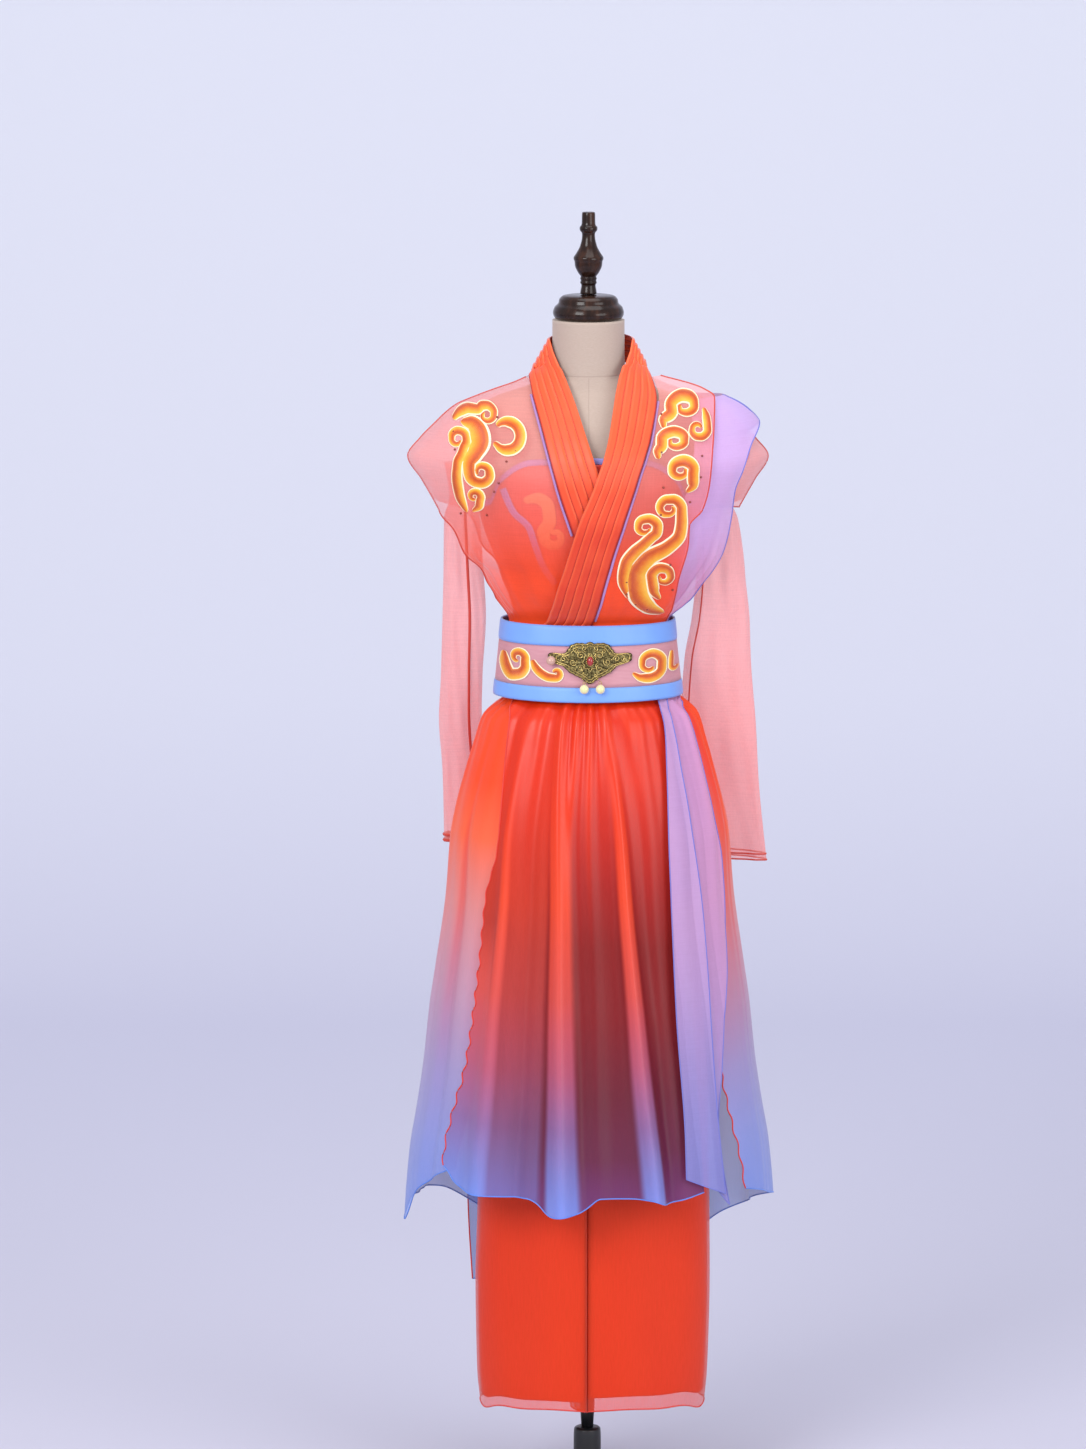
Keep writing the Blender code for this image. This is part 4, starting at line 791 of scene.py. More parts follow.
# Crossed collar: two bands of orange satin, each pressed into five lengthwise tucks, that cross
# on the chest and meet behind the neck. A lilac-blue piping runs beside each outer edge.
TUCKS = 5
TUCK_RISE = 0.0013
TUCKED = 0.0018
UNDER_LIFT = 0.0040
OVER_LIFT = 0.0108
BELT_PRESS = 0.0030
UNDER_ROWS = (
    (0.0200, 1.3780, -0.0130, 1.3080), (0.0125, 1.4040, -0.0200, 1.3300),
    (0.0040, 1.4300, -0.0354, 1.3750), (-0.0070, 1.4620, -0.0500, 1.4250),
    (-0.0180, 1.4940, -0.0640, 1.4750), (-0.0300, 1.5250, -0.0735, 1.5080),
    (-0.0400, 1.5520, -0.0765, 1.5260), (-0.0466, 1.5750, -0.0710, 1.5310),
)
OVER_ROWS = (
    (-0.0600, 1.1900, -0.0020, 1.1900), (-0.0520, 1.2130, 0.0060, 1.2130),
    (-0.0370, 1.2620, 0.0166, 1.2520), (-0.0250, 1.3020, 0.0303, 1.3024),
    (-0.0134, 1.3397, 0.0468, 1.3530), (0.0084, 1.3937, 0.0630, 1.4020),
    (0.0248, 1.4420, 0.0795, 1.4500), (0.0371, 1.5130, 0.0878, 1.4960),
    (0.0425, 1.5450, 0.0800, 1.5200), (0.0466, 1.5750, 0.0720, 1.5305),
)
NECK_STEPS = (104, 120, 136, 152, 167, 179.6)
collar_satin = Finish("collar_orange_satin", 0.42, Sheen_Weight=0.35, Sheen_Roughness=0.35,
                      Specular_IOR_Level=0.35)
tuck_share = collar_satin.mark("tuck")
slubs = collar_satin.noise(900.0, (1.0, 1.0, 0.1), 2.0)
chest_up = collar_satin.step(collar_satin.axis("Z"), 1.30, 1.46)
# The colour is darker towards the bottom of the chest and lighter above.
darker_low = collar_satin.mix(chest_up, linear(204, 44, 24), linear(238, 82, 42))
pressed = collar_satin.mix(collar_satin.noise(30.0) * 0.5, darker_low, linear(246, 104, 58))
# Painted shadow along the fold where each tuck drops, and a painted highlight along the top of each tuck's
# rise.
painted_fold_shadow = collar_satin.mix(1 - collar_satin.step(tuck_share, 0.02, 0.34), pressed, linear(164, 30, 22))
painted_tuck_highlight = collar_satin.mix(collar_satin.step(tuck_share, 0.80, 0.97) * 0.5, painted_fold_shadow, linear(255, 128, 76))
collar_satin.feed("Base Color", painted_tuck_highlight)
collar_satin.bump(slubs, 0.10, 0.0003)


def collar(rows, side, lift, count, fine):
    """A band from the front to the middle of the neck's back; side is -1 at -X and 1 at +X.

    Across it the tucks rise slowly and drop at each fold, and round the neck it stands straight.
    """
    host = VEST if side < 0 else DRAPE
    rows = np.array(rows)
    across = np.linspace(0, 1, fine)[None, :]
    run = np.arange(len(rows))
    along = np.linspace(0, len(rows) - 1, count)
    inner_x, inner_z, outer_x, outer_z = (through(run, rows[:, k], along)[:, None] for k in range(4))
    x = inner_x * (1 - across) + outer_x * across
    height = inner_z * (1 - across) + outer_z * across
    angle = host.angle(x, height)
    steps = 48
    share = (np.arange(steps) + 1)[:, None] / steps
    whole = np.arange(len(NECK_STEPS) + 1)
    turn = np.radians(through(whole, (90.0,) + NECK_STEPS, share * len(NECK_STEPS))) * side
    neck_height = (1.575 + 0.008 * share) * (1 - across) + (1.531 + 0.004 * share) * across
    begin = angle[-1:]
    ease = np.clip(share * len(NECK_STEPS), 0, 1)
    angle = np.concatenate([angle, begin * (1 - ease) + turn * ease])
    height = np.concatenate([height, neck_height])
    phase = (1 - across) * TUCKS % 1.0
    tuck = TUCK_RISE * 1.25 * np.clip(phase / 0.82, 0, 1) ** 1.4 * np.clip((1 - phase) / 0.14, 0, 1)
    lift = lift - BELT_PRESS * np.clip((1.2350 - height) / 0.028, 0, 1)
    laid = host.spot(angle, height, lift + tuck)
    start = laid[:, :1]
    end = laid[:, -1:]
    out = host.spot(angle, height, lift + 0.01) - host.spot(angle, height, lift)
    out = out.mean(axis=1, keepdims=True)
    out /= np.linalg.norm(out, axis=-1, keepdims=True)
    flat = start * (1 - across[..., None]) + end * across[..., None] + out * tuck[..., None]
    before = count * 3 // len(rows)
    stand = np.clip((np.arange(len(height)) - count + before) / before, 0, 1)[:, None, None]
    grid = laid * (1 - stand) + flat * stand
    marks = phase + 0 * height
    if side < 0:
        grid = grid[:, ::-1]
        marks = marks[:, ::-1]
    return grid, marks


under_points, under_marks = collar(UNDER_ROWS, -1, UNDER_LIFT, 140, 101)
under_band = walled(
    cloth("collar_under", under_points, collar_satin, marks={"tuck": under_marks}), TUCKED)
over_points, over_marks = collar(OVER_ROWS, 1, OVER_LIFT, 200, 101)
over_band = walled(
    cloth("collar_over", over_points, collar_satin, marks={"tuck": over_marks}), TUCKED)
mauve_cord = satin("mauve_piping", linear(190, 146, 196), linear(150, 112, 172), 0.42)
PIPE_UNDER = 0.0019
PIPE_OVER = 0.0024
PIPE_WIDTH = 0.0026
PIPE_CROWN = 0.0010
SEWN_LIFT = 0.0004


def on_right(x, z):
    """The right front's surface, where the piping and the scrolls lie."""
    angle = DRAPE.angle(x, z)
    return layer(RIGHT_LIFT, z) + gather(angle, z) + crease(angle, z)


piping_left_path = [(row[2] - PIPE_UNDER, row[3] - 0.002) for row in UNDER_ROWS[1:6]]
piping_left = place_piece(
    "piping_under_cord",
    strip("piping_under_cord", VEST, piping_left_path, PIPE_WIDTH, 0.0034, 120, PIPE_CROWN),
    mauve_cord, "piping_under")
walled(piping_left, 0.0006)
piping_right_path = [(row[2] + PIPE_OVER, row[3] - 0.001) for row in OVER_ROWS[1:8]]
piping_right = place_piece(
    "piping_over_cord",
    strip("piping_over_cord", DRAPE, piping_right_path, PIPE_WIDTH, lambda x, z: on_right(x, z) + SEWN_LIFT,
          160, PIPE_CROWN),
    mauve_cord, "piping_over")
walled(piping_right, 0.0006)

# Cloud scrolls: padded satin-stitch embroidery in yellow, orange and rust with a cream couched
# outline, worked on a backing and sewn on, with single rust beads scattered beside them.
ON_BELT = 0.0007
STITCH_CROWN = 0.0026
BELT_STITCH_CROWN = 0.0014
FLOSS_SPREAD = 1.7
stitch = Finish("gold_satin_stitch", 0.42, Sheen_Weight=0.4, Sheen_Roughness=0.3, Specular_IOR_Level=0.5)
side_share = stitch.mark("across")
run_mark = stitch.mark("run")
rim_share = stitch.step(stitch.node("ShaderNodeMath", {"operation": "ABSOLUTE"}, side_share), 0.76, 0.82)
floss = stitch.node("ShaderNodeMath", {"operation": "SINE"}, run_mark * 9500.0 + stitch.noise(500.0) * 3.0)
twist = stitch.node("ShaderNodeMath", {"operation": "SINE"}, run_mark * 4200.0 + side_share * 9.0)
blend = side_share * 0.5 + 0.5 + 0.16 * (stitch.noise(160.0) - 0.5) + 0.05 * floss
body_colour = stitch.ramp(blend, (
    (0.14, linear(246, 190, 62)), (0.34, linear(236, 150, 30)), (0.54, linear(218, 100, 18)),
    (0.72, linear(190, 66, 20)), (0.86, linear(224, 122, 36)),
))
outline_colour = stitch.mix(twist * 0.2 + 0.2, linear(255, 246, 214), linear(226, 190, 120))
stitch.feed("Base Color", stitch.mix(rim_share, body_colour, outline_colour))
stitch.feed("Roughness", 0.36 + 0.1 * floss)
stitch.bump(floss * (1 - rim_share) + twist * rim_share, 0.35, 0.0004)


def curl(x, z, start_radius, end_radius, start, sweep_turn, flat=1.0):
    """Points of a curl round a middle, from the outside in; angles in degrees."""
    share = np.linspace(0, 1, 13)
    turn = np.radians(start + sweep_turn * share)
    radius = start_radius + (end_radius - start_radius) * share ** 1.3
    return list(zip(x + radius * np.cos(turn), z + flat * radius * np.sin(turn)))


def scroll(node, ring, path, widths, lift, thick):
    """A padded scroll: a D-shaped section, crowned on top, carried along the path with a row of widths."""
    x, z, tangent, along = strip_path(path, 220)
    share = along / along[-1]
    half = FLOSS_SPREAD * 0.5 * through(np.linspace(0, 1, len(widths)), widths, share)
    half = half * np.minimum(1, np.sqrt(np.clip(np.minimum(share, 1 - share) / 0.02, 0.0004, 1)))
    round_it = np.linspace(0, 2 * math.pi, 28, endpoint=False)[None, :]
    across = np.cos(round_it)
    rise = np.where(np.sin(round_it) > 0, np.abs(np.sin(round_it)) ** 0.8, 0.12 * np.sin(round_it))
    groove = 1 - 0.35 * np.exp(-((np.abs(across) - 0.78) / 0.06) ** 2)
    xs = x[:, None] - tangent[:, 1:] * half[:, None] * across
    zs = z[:, None] + tangent[:, :1] * half[:, None] * across
    crown = thick * rise * groove * np.clip(half / half.max(), 0.35, 1)[:, None]
    grid = ring.spot(ring.angle(xs, zs), zs, lift(xs, zs) + crown)
    marks = {"across": across + 0 * xs, "run": along[:, None] + 0 * xs}
    return surface(node + "_stitched", grid[:, ::-1], True, True, {k: v[:, ::-1] for k, v in marks.items()})


# Name, stem rows of x and height, curl (x, height, radius out, radius in, start, sweep, flatness), widths
LEFT_SCROLLS = (
    ("scroll_left_top",
     ((-0.1790, 1.4730), (-0.1690, 1.4825), (-0.1575, 1.4870)),
     (-0.1345, 1.4805, 0.0130, 0.0035, 150, -385, 0.95),
     (0.004, 0.0088, 0.0080, 0.007, 0.0052, 0.003)),
    ("scroll_left_main",
     ((-0.1690, 1.4710), (-0.1560, 1.4700), (-0.1455, 1.4610), (-0.1425, 1.4480), (-0.1495, 1.4330),
      (-0.1575, 1.4200)),
     (-0.1415, 1.4090, 0.0160, 0.0040, 170, 410),
     (0.004, 0.014, 0.0175, 0.015, 0.012, 0.0105, 0.0095, 0.0085, 0.0065, 0.0035)),
    ("scroll_left_ring",
     ((-0.1250, 1.4470),),
     (-0.1075, 1.4560, 0.0180, 0.0175, -140, 280),
     (0.004, 0.0095, 0.0100, 0.0095, 0.004)),
    ("scroll_left_low",
     ((-0.1600, 1.3540), (-0.1700, 1.3780), (-0.1735, 1.4030), (-0.1720, 1.4200), (-0.1665, 1.4310)),
     (-0.1725, 1.4490, 0.0130, 0.0035, -45, 400),
     (0.003, 0.0085, 0.0095, 0.0085, 0.0085, 0.0075, 0.006, 0.0035)),
    ("scroll_left_tail",
     ((-0.1530, 1.3560), (-0.1440, 1.3640)),
     (-0.1500, 1.3760, 0.0085, 0.0030, -30, 330),
     (0.0025, 0.0075, 0.0070, 0.0055, 0.0025)),
)
RIGHT_SCROLLS = (
    ("scroll_right_top",
     ((0.0975, 1.4630), (0.0965, 1.4720)),
     (0.1240, 1.4880, 0.0185, 0.0045, 205, -420, 0.75),
     (0.004, 0.0105, 0.0100, 0.009, 0.007, 0.0035)),
    ("scroll_right_rose",
     ((0.1490, 1.4860), (0.1520, 1.4760)),
     (0.1415, 1.4610, 0.0125, 0.0032, 20, -365, 0.95),
     (0.003, 0.0072, 0.0072, 0.0064, 0.005, 0.003)),
    ("scroll_right_second",
     ((0.0905, 1.4260), (0.0890, 1.4340)),
     (0.1110, 1.4470, 0.0175, 0.0045, 200, -420, 0.75),
     (0.004, 0.010, 0.0095, 0.0085, 0.0065, 0.0035)),
    ("scroll_right_third",
     ((0.1255, 1.3850), (0.1340, 1.3950)),
     (0.1190, 1.4120, 0.0165, 0.0042, -25, 420, 0.8),
     (0.003, 0.010, 0.0095, 0.0085, 0.0065, 0.0035)),
    ("scroll_chest_main",
     ((0.0970, 1.2230), (0.0770, 1.2330), (0.0630, 1.2530), (0.0610, 1.2760), (0.0760, 1.2990),
      (0.1010, 1.3130), (0.1165, 1.3290), (0.1190, 1.3470)),
     (0.1030, 1.3640, 0.0160, 0.0040, 0, 410, 0.88),
     (0.003, 0.014, 0.0175, 0.0165, 0.014, 0.012, 0.0105, 0.0095, 0.0085, 0.0065, 0.0035)),
    ("scroll_chest_side",
     ((0.0510, 1.2460), (0.0440, 1.2690), (0.0480, 1.2930), (0.0590, 1.3085), (0.0700, 1.3180)),
     (0.0730, 1.3400, 0.0160, 0.0040, -65, 420, 0.88),
     (0.003, 0.009, 0.011, 0.011, 0.0100, 0.0095, 0.0085, 0.0065, 0.0035)),
    ("scroll_chest_low",
     ((0.0905, 1.2440), (0.0825, 1.2560)),
     (0.0940, 1.2740, 0.0145, 0.0036, 205, -410),
     (0.003, 0.0095, 0.0090, 0.0080, 0.0060, 0.0035)),
)


def on_left(x, z):
    """The left front's surface."""
    angle = VEST.angle(x, z)
    return gather(angle, z) + crease(angle, z)


def sew_scrolls(table, ring, under, crown):
    """Sews on every scroll of a table, each on the cloth below it."""
    for node, stem, swirl, widths in table:
        mesh = scroll(node, ring, list(stem) + curl(*swirl), widths, under, crown)
        place_piece(node + "_stitched", mesh, stitch, node)


sew_scrolls(LEFT_SCROLLS, VEST, lambda x, z: on_left(x, z) + SEWN_LIFT, STITCH_CROWN)
sew_scrolls(RIGHT_SCROLLS, DRAPE, lambda x, z: on_right(x, z) + SEWN_LIFT, STITCH_CROWN)
faded = Finish("camisole_faded_stitch", 0.6, Sheen_Weight=0.2)
faded.feed("Base Color", faded.mix(faded.noise(220.0), linear(244, 150, 74), linear(232, 116, 56)))
CHEST_MOTIF = ((-0.083, 1.372), (-0.066, 1.376), (-0.052, 1.366), (-0.050, 1.346), (-0.058, 1.330))
under_scroll = scroll(
    "camisole_scroll", FORM, list(CHEST_MOTIF) + curl(-0.044, 1.326, 0.013, 0.004, 170, 330),
    (0.005, 0.010, 0.010, 0.007, 0.004), lambda x, z: CAMISOLE_LIFT + CLOTH_WALL + 0.0016 + 0 * x, 0.0008)
place_piece("camisole_scroll_stitched", under_scroll, faded, None)
bead_glass = Finish("rust_bead", 0.2, Coat_Weight=0.6)
bead_glass.feed("Base Color", bead_glass.mix(bead_glass.noise(60.0), linear(150, 52, 30),
                                             linear(108, 34, 24)))
LEFT_BEADS = (
    (-0.176, 1.436), (-0.174, 1.400), (-0.143, 1.372), (-0.134, 1.352), (-0.108, 1.424),
    (-0.096, 1.437), (-0.094, 1.470), (-0.120, 1.478), (-0.178, 1.458), (-0.118, 1.396),
    (-0.168, 1.352), (-0.124, 1.384),
)
RIGHT_BEADS = (
    (0.094, 1.434), (0.092, 1.447), (0.150, 1.456), (0.146, 1.428), (0.144, 1.404), (0.096, 1.392),
    (0.052, 1.300), (0.048, 1.252), (0.060, 1.238), (0.074, 1.231), (0.104, 1.290), (0.106, 1.256),
    (0.048, 1.268), (0.130, 1.372), (0.094, 1.480), (0.092, 1.356),
)


BEAD_RADIUS = 0.0016
BEAD_TURNS = 12
BEAD_ROUNDS = 8
BEAD_POINTS = BEAD_TURNS * BEAD_ROUNDS


def sphere(turns, rounds, pole):
    """A unit sphere's grid from its lowest round to its highest, a small angle short of both poles."""
    around = np.linspace(0, 2 * math.pi, turns, endpoint=False)[None, :]
    down = np.linspace(pole, math.pi - pole, rounds)[:, None]
    grid = [np.sin(down) * np.cos(around), np.sin(down) * np.sin(around), -np.cos(down) + 0 * around]
    return np.stack(grid, -1)


def beads(name, ring, spots, radius, lift):
    """Small glass beads in one mesh: a sphere's grid set down at each spot."""
    bead = sphere(BEAD_TURNS, BEAD_ROUNDS, 0.02)
    index = np.arange(BEAD_POINTS).reshape(BEAD_ROUNDS, BEAD_TURNS)
    after = np.roll(index, -1, axis=1)
    quads = np.stack([index[:-1], after[:-1], after[1:], index[1:]], -1).reshape(-1, 4)
    x, z = np.array(spots).T
    middle = ring.spot(ring.angle(x, z), z, lift(x, z) + radius * 0.8)
    points = (middle[:, None, None] + bead[None] * radius).reshape(-1, 3)
    faces = (quads[None] + BEAD_POINTS * np.arange(len(x))[:, None, None]).reshape(-1, 4).tolist()
    for k in range(len(x)):
        faces.append((index[0][::-1] + BEAD_POINTS * k).tolist())
        faces.append((index[-1] + BEAD_POINTS * k).tolist())
    mesh = bpy.data.meshes.new(name)
    mesh.from_pydata(points.tolist(), [], faces)
    mesh.shade_smooth()
    return mesh


for name, ring, spots, under in (
        ("beads_left", VEST, LEFT_BEADS, on_left), ("beads_right", DRAPE, RIGHT_BEADS, on_right)):
    place_piece(name, beads(name, ring, spots, BEAD_RADIUS, under), bead_glass, None)

# Sleeves: long open tubes of coral organza set into the armholes, hanging a little behind the
# sides, each with one darker seam down its length and a turned hem at the cuff.
CUFF = 0.882
CUFF_RIGHT = 0.858
SLEEVE_RIGHT = (
    (1.412, 0.1660, 0.000, 0.1960, 0.000, 0.014), (1.365, 0.1497, 0.002, 0.1890, 0.002, 0.014),
    (1.335, 0.1447, 0.008, 0.2000, 0.008, 0.017), (1.280, 0.1450, 0.014, 0.2085, 0.014, 0.019),
    (1.2516, 0.1440, 0.020, 0.2110, 0.020, 0.019), (1.1987, 0.1390, 0.032, 0.2167, 0.028, 0.018),
    (1.139, 0.1300, 0.056, 0.2190, 0.036, 0.017), (1.050, 0.1260, 0.096, 0.2265, 0.056, 0.015),
    (0.968, 0.1310, 0.128, 0.2313, 0.074, 0.014), (CUFF_RIGHT, 0.1365, 0.150, 0.2430, 0.092, 0.014),
)
SLEEVE_LEFT = (
    (1.412, -0.1660, 0.000, -0.1920, 0.000, 0.014), (1.365, -0.1497, 0.002, -0.1850, 0.002, 0.014),
    (1.335, -0.1447, 0.008, -0.1925, 0.008, 0.017), (1.264, -0.1400, 0.018, -0.1935, 0.016, 0.019),
    (1.2055, -0.1367, 0.032, -0.1950, 0.026, 0.018), (1.116, -0.1420, 0.060, -0.1975, 0.044, 0.017),
    (1.058, -0.1440, 0.088, -0.2000, 0.060, 0.016), (0.984, -0.1430, 0.120, -0.1955, 0.084, 0.015),
    (CUFF, -0.1440, 0.146, -0.1930, 0.108, 0.015),
)
sleeve_organza = organza("sleeve_organza_weave", linear(250, 164, 158), linear(242, 146, 140), 0.48)


def sleeve_points(rows, seam_turn, rounds=200, columns=96):
    """A tube through flattened ovals, each set from its inner to its outer edge, with soft drag lines.

    The cloth's two long edges meet at the seam's angle.
    """
    rows = np.array(sorted(rows))
    height = np.linspace(rows[0, 0], rows[-1, 0], rounds)
    in_x, in_y, out_x, out_y, deep = (through(rows[:, 0], rows[:, k], height)[:, None] for k in range(1, 6))
    turn = seam_turn + np.linspace(0, 2 * math.pi, columns)[None, :]
    long_x = (out_x - in_x) / 2
    long_y = (out_y - in_y) / 2
    reach = np.hypot(long_x, long_y)
    side = np.sign(long_x)
    up = height[:, None]
    wave = 1 + 0.10 * np.sin(3 * turn + 9 * up) + 0.07 * np.sin(7 * turn - 21 * up)
    wave = wave + 0.05 * np.sin(11 * turn + 34 * up)
    x = (in_x + out_x) / 2 + long_x * np.sin(turn) * side
    x = x + long_y / reach * deep * np.cos(turn) * wave * side
    y = (in_y + out_y) / 2 + long_y * np.sin(turn) * side
    y = y - np.abs(long_x) / reach * deep * np.cos(turn) * wave
    return np.stack([x, y, up + 0 * turn], -1)


for node, rows, seam_turn, radius, flat, area in (
        ("sleeve_left", SLEEVE_LEFT, 0.2, 0.0021, (0.16, 0.54), 0.080),
        ("sleeve_right", SLEEVE_RIGHT, -0.8, 0.0011, (0.21, 0.57), 0.112)):
    tube = sleeve_points(rows, seam_turn)
    sleeve = cloth(node, tube, sleeve_organza)
    sewing = rolled_edge(node + "_seam", [tube[:, 0], tube[0], tube[3]], radius, coral_roll)

# Belt: a stiffened pink slub-satin band between two sky-blue satin bindings, fastened behind.
# Rows of fine machine stitching run round the pink, and four thin scrolls are sewn on in front.
BELT_BOTTOM = 1.1024
BELT_WALL = 0.0024
UPPER_BINDING = 0.0265
LOWER_BINDING = 0.0190
PINK_TOP = BELT_TOP - UPPER_BINDING
PINK_BOTTOM = BELT_BOTTOM + LOWER_BINDING
BELT = Ring(((1.1024, 0.1265, 0.0930, 0.0950), (1.2028, 0.1160, 0.0810, 0.0830)))
sky_satin = satin("sky_blue_binding", linear(128, 172, 240), linear(112, 158, 232), 0.40)
pink_slub = Finish("pink_slub_satin", 0.55, Sheen_Weight=0.3, Sheen_Roughness=0.4)
rows_stitched = pink_slub.node("ShaderNodeMath", {"operation": "SINE"}, pink_slub.axis("Z") * 3600.0)
slub_level = pink_slub.noise(420.0, (0.12, 0.12, 1.0), 4.0)
pink_ground = pink_slub.mix(slub_level, linear(208, 154, 162), linear(190, 128, 138))
stitch_rows = pink_slub.step(rows_stitched, 0.80, 1.0) * 0.4
pink_slub.feed("Base Color", pink_slub.mix(stitch_rows, pink_ground, linear(184, 108, 118)))
pink_slub.bump(slub_level - pink_slub.step(rows_stitched, 0.7, 1.0) * 0.6, 0.25, 0.0004)


def belt_points(low, high, crown, rows=9):
    """A ring of the belt between two heights, crowned across and with slight dents of wear."""
    turn = np.linspace(0, 2 * math.pi, 300, endpoint=False)[None, :]
    up = np.linspace(0, 1, rows)[:, None]
    height = low * (1 - up) + high * up
    darker_low = 0.0002 * np.sin(13 * turn + 40 * height) + 0.0002 * np.sin(7 * turn)
    rim = crown * (1 - (2 * up - 1) ** 6)
    return BELT.spot(turn, height, darker_low + rim - BELT_WALL)


# Crown, wall, finish and slot
BINDING = (0.0006, 0.0030, sky_satin, "sky_blue_satin")
PINK_BAND = (0.0, BELT_WALL, pink_slub, "belt_pink")
for node, low, high, (crown, wall, finish, slot), flat in (
        ("belt_binding_upper", PINK_TOP + SEAM, BELT_TOP, BINDING, (0.63, 0.026)),
        ("belt_band", PINK_BOTTOM, PINK_TOP, PINK_BAND, (0.65, 0.056)),
        ("belt_binding_lower", BELT_BOTTOM, PINK_BOTTOM - SEAM, BINDING, (0.68, 0.019))):
    ring = walled(cloth(node, belt_points(low, high, crown), finish, True), wall)
BELT_SCROLLS = (
    ("scroll_belt_left",
     ((-0.1120, 1.1640), (-0.1100, 1.1480), (-0.1010, 1.1345), (-0.0900, 1.1370), (-0.0835, 1.1470)),
     (-0.0930, 1.1570, 0.0100, 0.0030, -20, 300),
     (0.004, 0.0095, 0.0105, 0.0095, 0.0085, 0.0075, 0.006, 0.003)),
    ("scroll_belt_wave",
     ((-0.0745, 1.1560), (-0.0690, 1.1455), (-0.0605, 1.1380), (-0.0520, 1.1345)),
     (-0.0430, 1.1400, 0.0062, 0.0030, -100, 260),
     (0.004, 0.0078, 0.0082, 0.0075, 0.006, 0.003)),
    ("scroll_belt_ring",
     ((0.0580, 1.1400), (0.0695, 1.1330)),
     (0.0815, 1.1500, 0.0182, 0.0055, -95, 420),
     (0.003, 0.0085, 0.0088, 0.0080, 0.006, 0.0035)),
    ("scroll_belt_end",
     ((0.1105, 1.1640), (0.1095, 1.1500)),
     (0.1140, 1.1450, 0.0050, 0.0042, 200, 150),
     (0.003, 0.0048, 0.0048, 0.003)),
)
sew_scrolls(BELT_SCROLLS, BELT, lambda x, z: ON_BELT + 0 * x, BELT_STITCH_CROWN)

# Belt ornament: a stamped brass plate with soldered wire scrolls and grains, aged dark in its
# hollows, a red glass stone in a toothed setting, two hanging pearls and one at the side.
PLATE_CENTRE = (0.002, 1.1555)
PLATE_WALL = 0.0022
PLATE_LIFT = 0.0010
PLATE_REACH = (
    (-90, 0.0290), (-62, 0.0240), (-40, 0.0265), (-22, 0.0315), (-10, 0.0350), (-5, 0.0420), (2, 0.0540),
    (8, 0.0560), (12, 0.0535), (17, 0.0385), (24, 0.0340), (42, 0.0335), (62, 0.0290), (78, 0.0255),
    (90, 0.0275),
)
old_brass = Finish("aged_brass", 0.42, Metallic=1.0)
tarnish = old_brass.noise(420.0, detail=5.0)
old_brass.feed("Base Color", old_brass.ramp(tarnish, (
    (0.34, linear(50, 44, 28)), (0.50, linear(96, 86, 54)), (0.68, linear(150, 138, 92)),
)))
old_brass.feed("Roughness", 0.62 - 0.3 * tarnish)
old_brass.bump(old_brass.noise(900.0) + tarnish, 0.3, 0.0004)
wire_brass = Finish("rubbed_brass_wire", 0.26, Metallic=1.0)
rubbed = wire_brass.noise(300.0)
wire_brass.feed("Base Color", wire_brass.mix(rubbed, linear(220, 200, 132), linear(150, 126, 66)))


def plate_reach(turn):
    """The plate's outline round its middle, the same on both sides, with small scallops."""
    folded = np.degrees(np.arcsin(np.sin(turn)))
    return through(*np.array(PLATE_REACH).T, folded) * (1 + 0.012 * np.cos(26 * turn))


def plate_mesh():
    """A low dome inside the outline with a raised rim, closed round its edge and behind."""
    turn = np.linspace(-math.pi / 2, 3 * math.pi / 2, 220, endpoint=False)[None, :]
    share = np.concatenate([np.linspace(0.002, 1.0, 26), [1.0, 0.6, 0.002]])[:, None]
    rim = 0.0005 * np.exp(-((share - 0.95) / 0.03) ** 2)
    dome = PLATE_LIFT + PLATE_WALL + 0.0018 * (1 - share ** 2) + rim
    dome = dome + 0.00035 * np.sin(18 * turn) * np.sin(math.pi * share) * (share < 0.9)
    dome[26:] = PLATE_LIFT - 0.0002
    x = PLATE_CENTRE[0] + plate_reach(turn) * np.cos(turn) * share
    z = PLATE_CENTRE[1] + plate_reach(turn) * np.sin(turn) * share
    return surface("buckle_plate_brass", BELT.spot(BELT.angle(x, z), z, dome)[::-1], True, True)


place_piece("buckle_plate_brass", plate_mesh(), old_brass, "buckle_plate")


def dome_at(x, z):
    """How far the plate's face stands off the belt."""
    dx = x - PLATE_CENTRE[0]
    dz = z - PLATE_CENTRE[1]
    share = np.hypot(dx, dz) / plate_reach(np.arctan2(dz, dx))
    return PLATE_LIFT + PLATE_WALL + 0.0018 * (1 - np.clip(share, 0, 1) ** 2)


def wire_lines():
    """Wire scrolls on one half and mirrored on the other: curls, leaves and the outline itself."""
    lines = []
    curls = (
        (0.012, 0.009, 0.0060, 0.0012, 200, -520), (0.022, 0.000, 0.0055, 0.0010, 150, 500),
        (0.034, 0.004, 0.0048, 0.0010, 190, -480), (0.044, 0.003, 0.0034, 0.0008, 170, 430),
        (0.012, -0.008, 0.0048, 0.0010, 100, 460), (0.007, -0.017, 0.0036, 0.0008, 80, -420),
        (0.007, 0.018, 0.0038, 0.0008, 240, 420), (0.017, 0.014, 0.0030, 0.0008, 90, -400),
    )
    for x, z, big, small, start, turn_by in curls:
        turn = np.radians(start + turn_by * np.linspace(0, 1, 60))
        radius = big + (small - big) * np.linspace(0, 1, 60) ** 0.8
        for side in (1, -1):
            lines.append((side * (x + radius * np.cos(turn)), z + radius * np.sin(turn)))
    turn = np.linspace(-math.pi / 2, 3 * math.pi / 2, 200)
    for share in (0.93, 0.80):
        lines.append((plate_reach(turn) * np.cos(turn) * share, plate_reach(turn) * np.sin(turn) * share))
    petal = np.linspace(0, 2 * math.pi, 120)
    notch = 0.0014 * np.cos(8 * petal)
    lines.append(((0.0088 + notch) * np.cos(petal), (0.0100 + notch) * np.sin(petal)))
    return lines


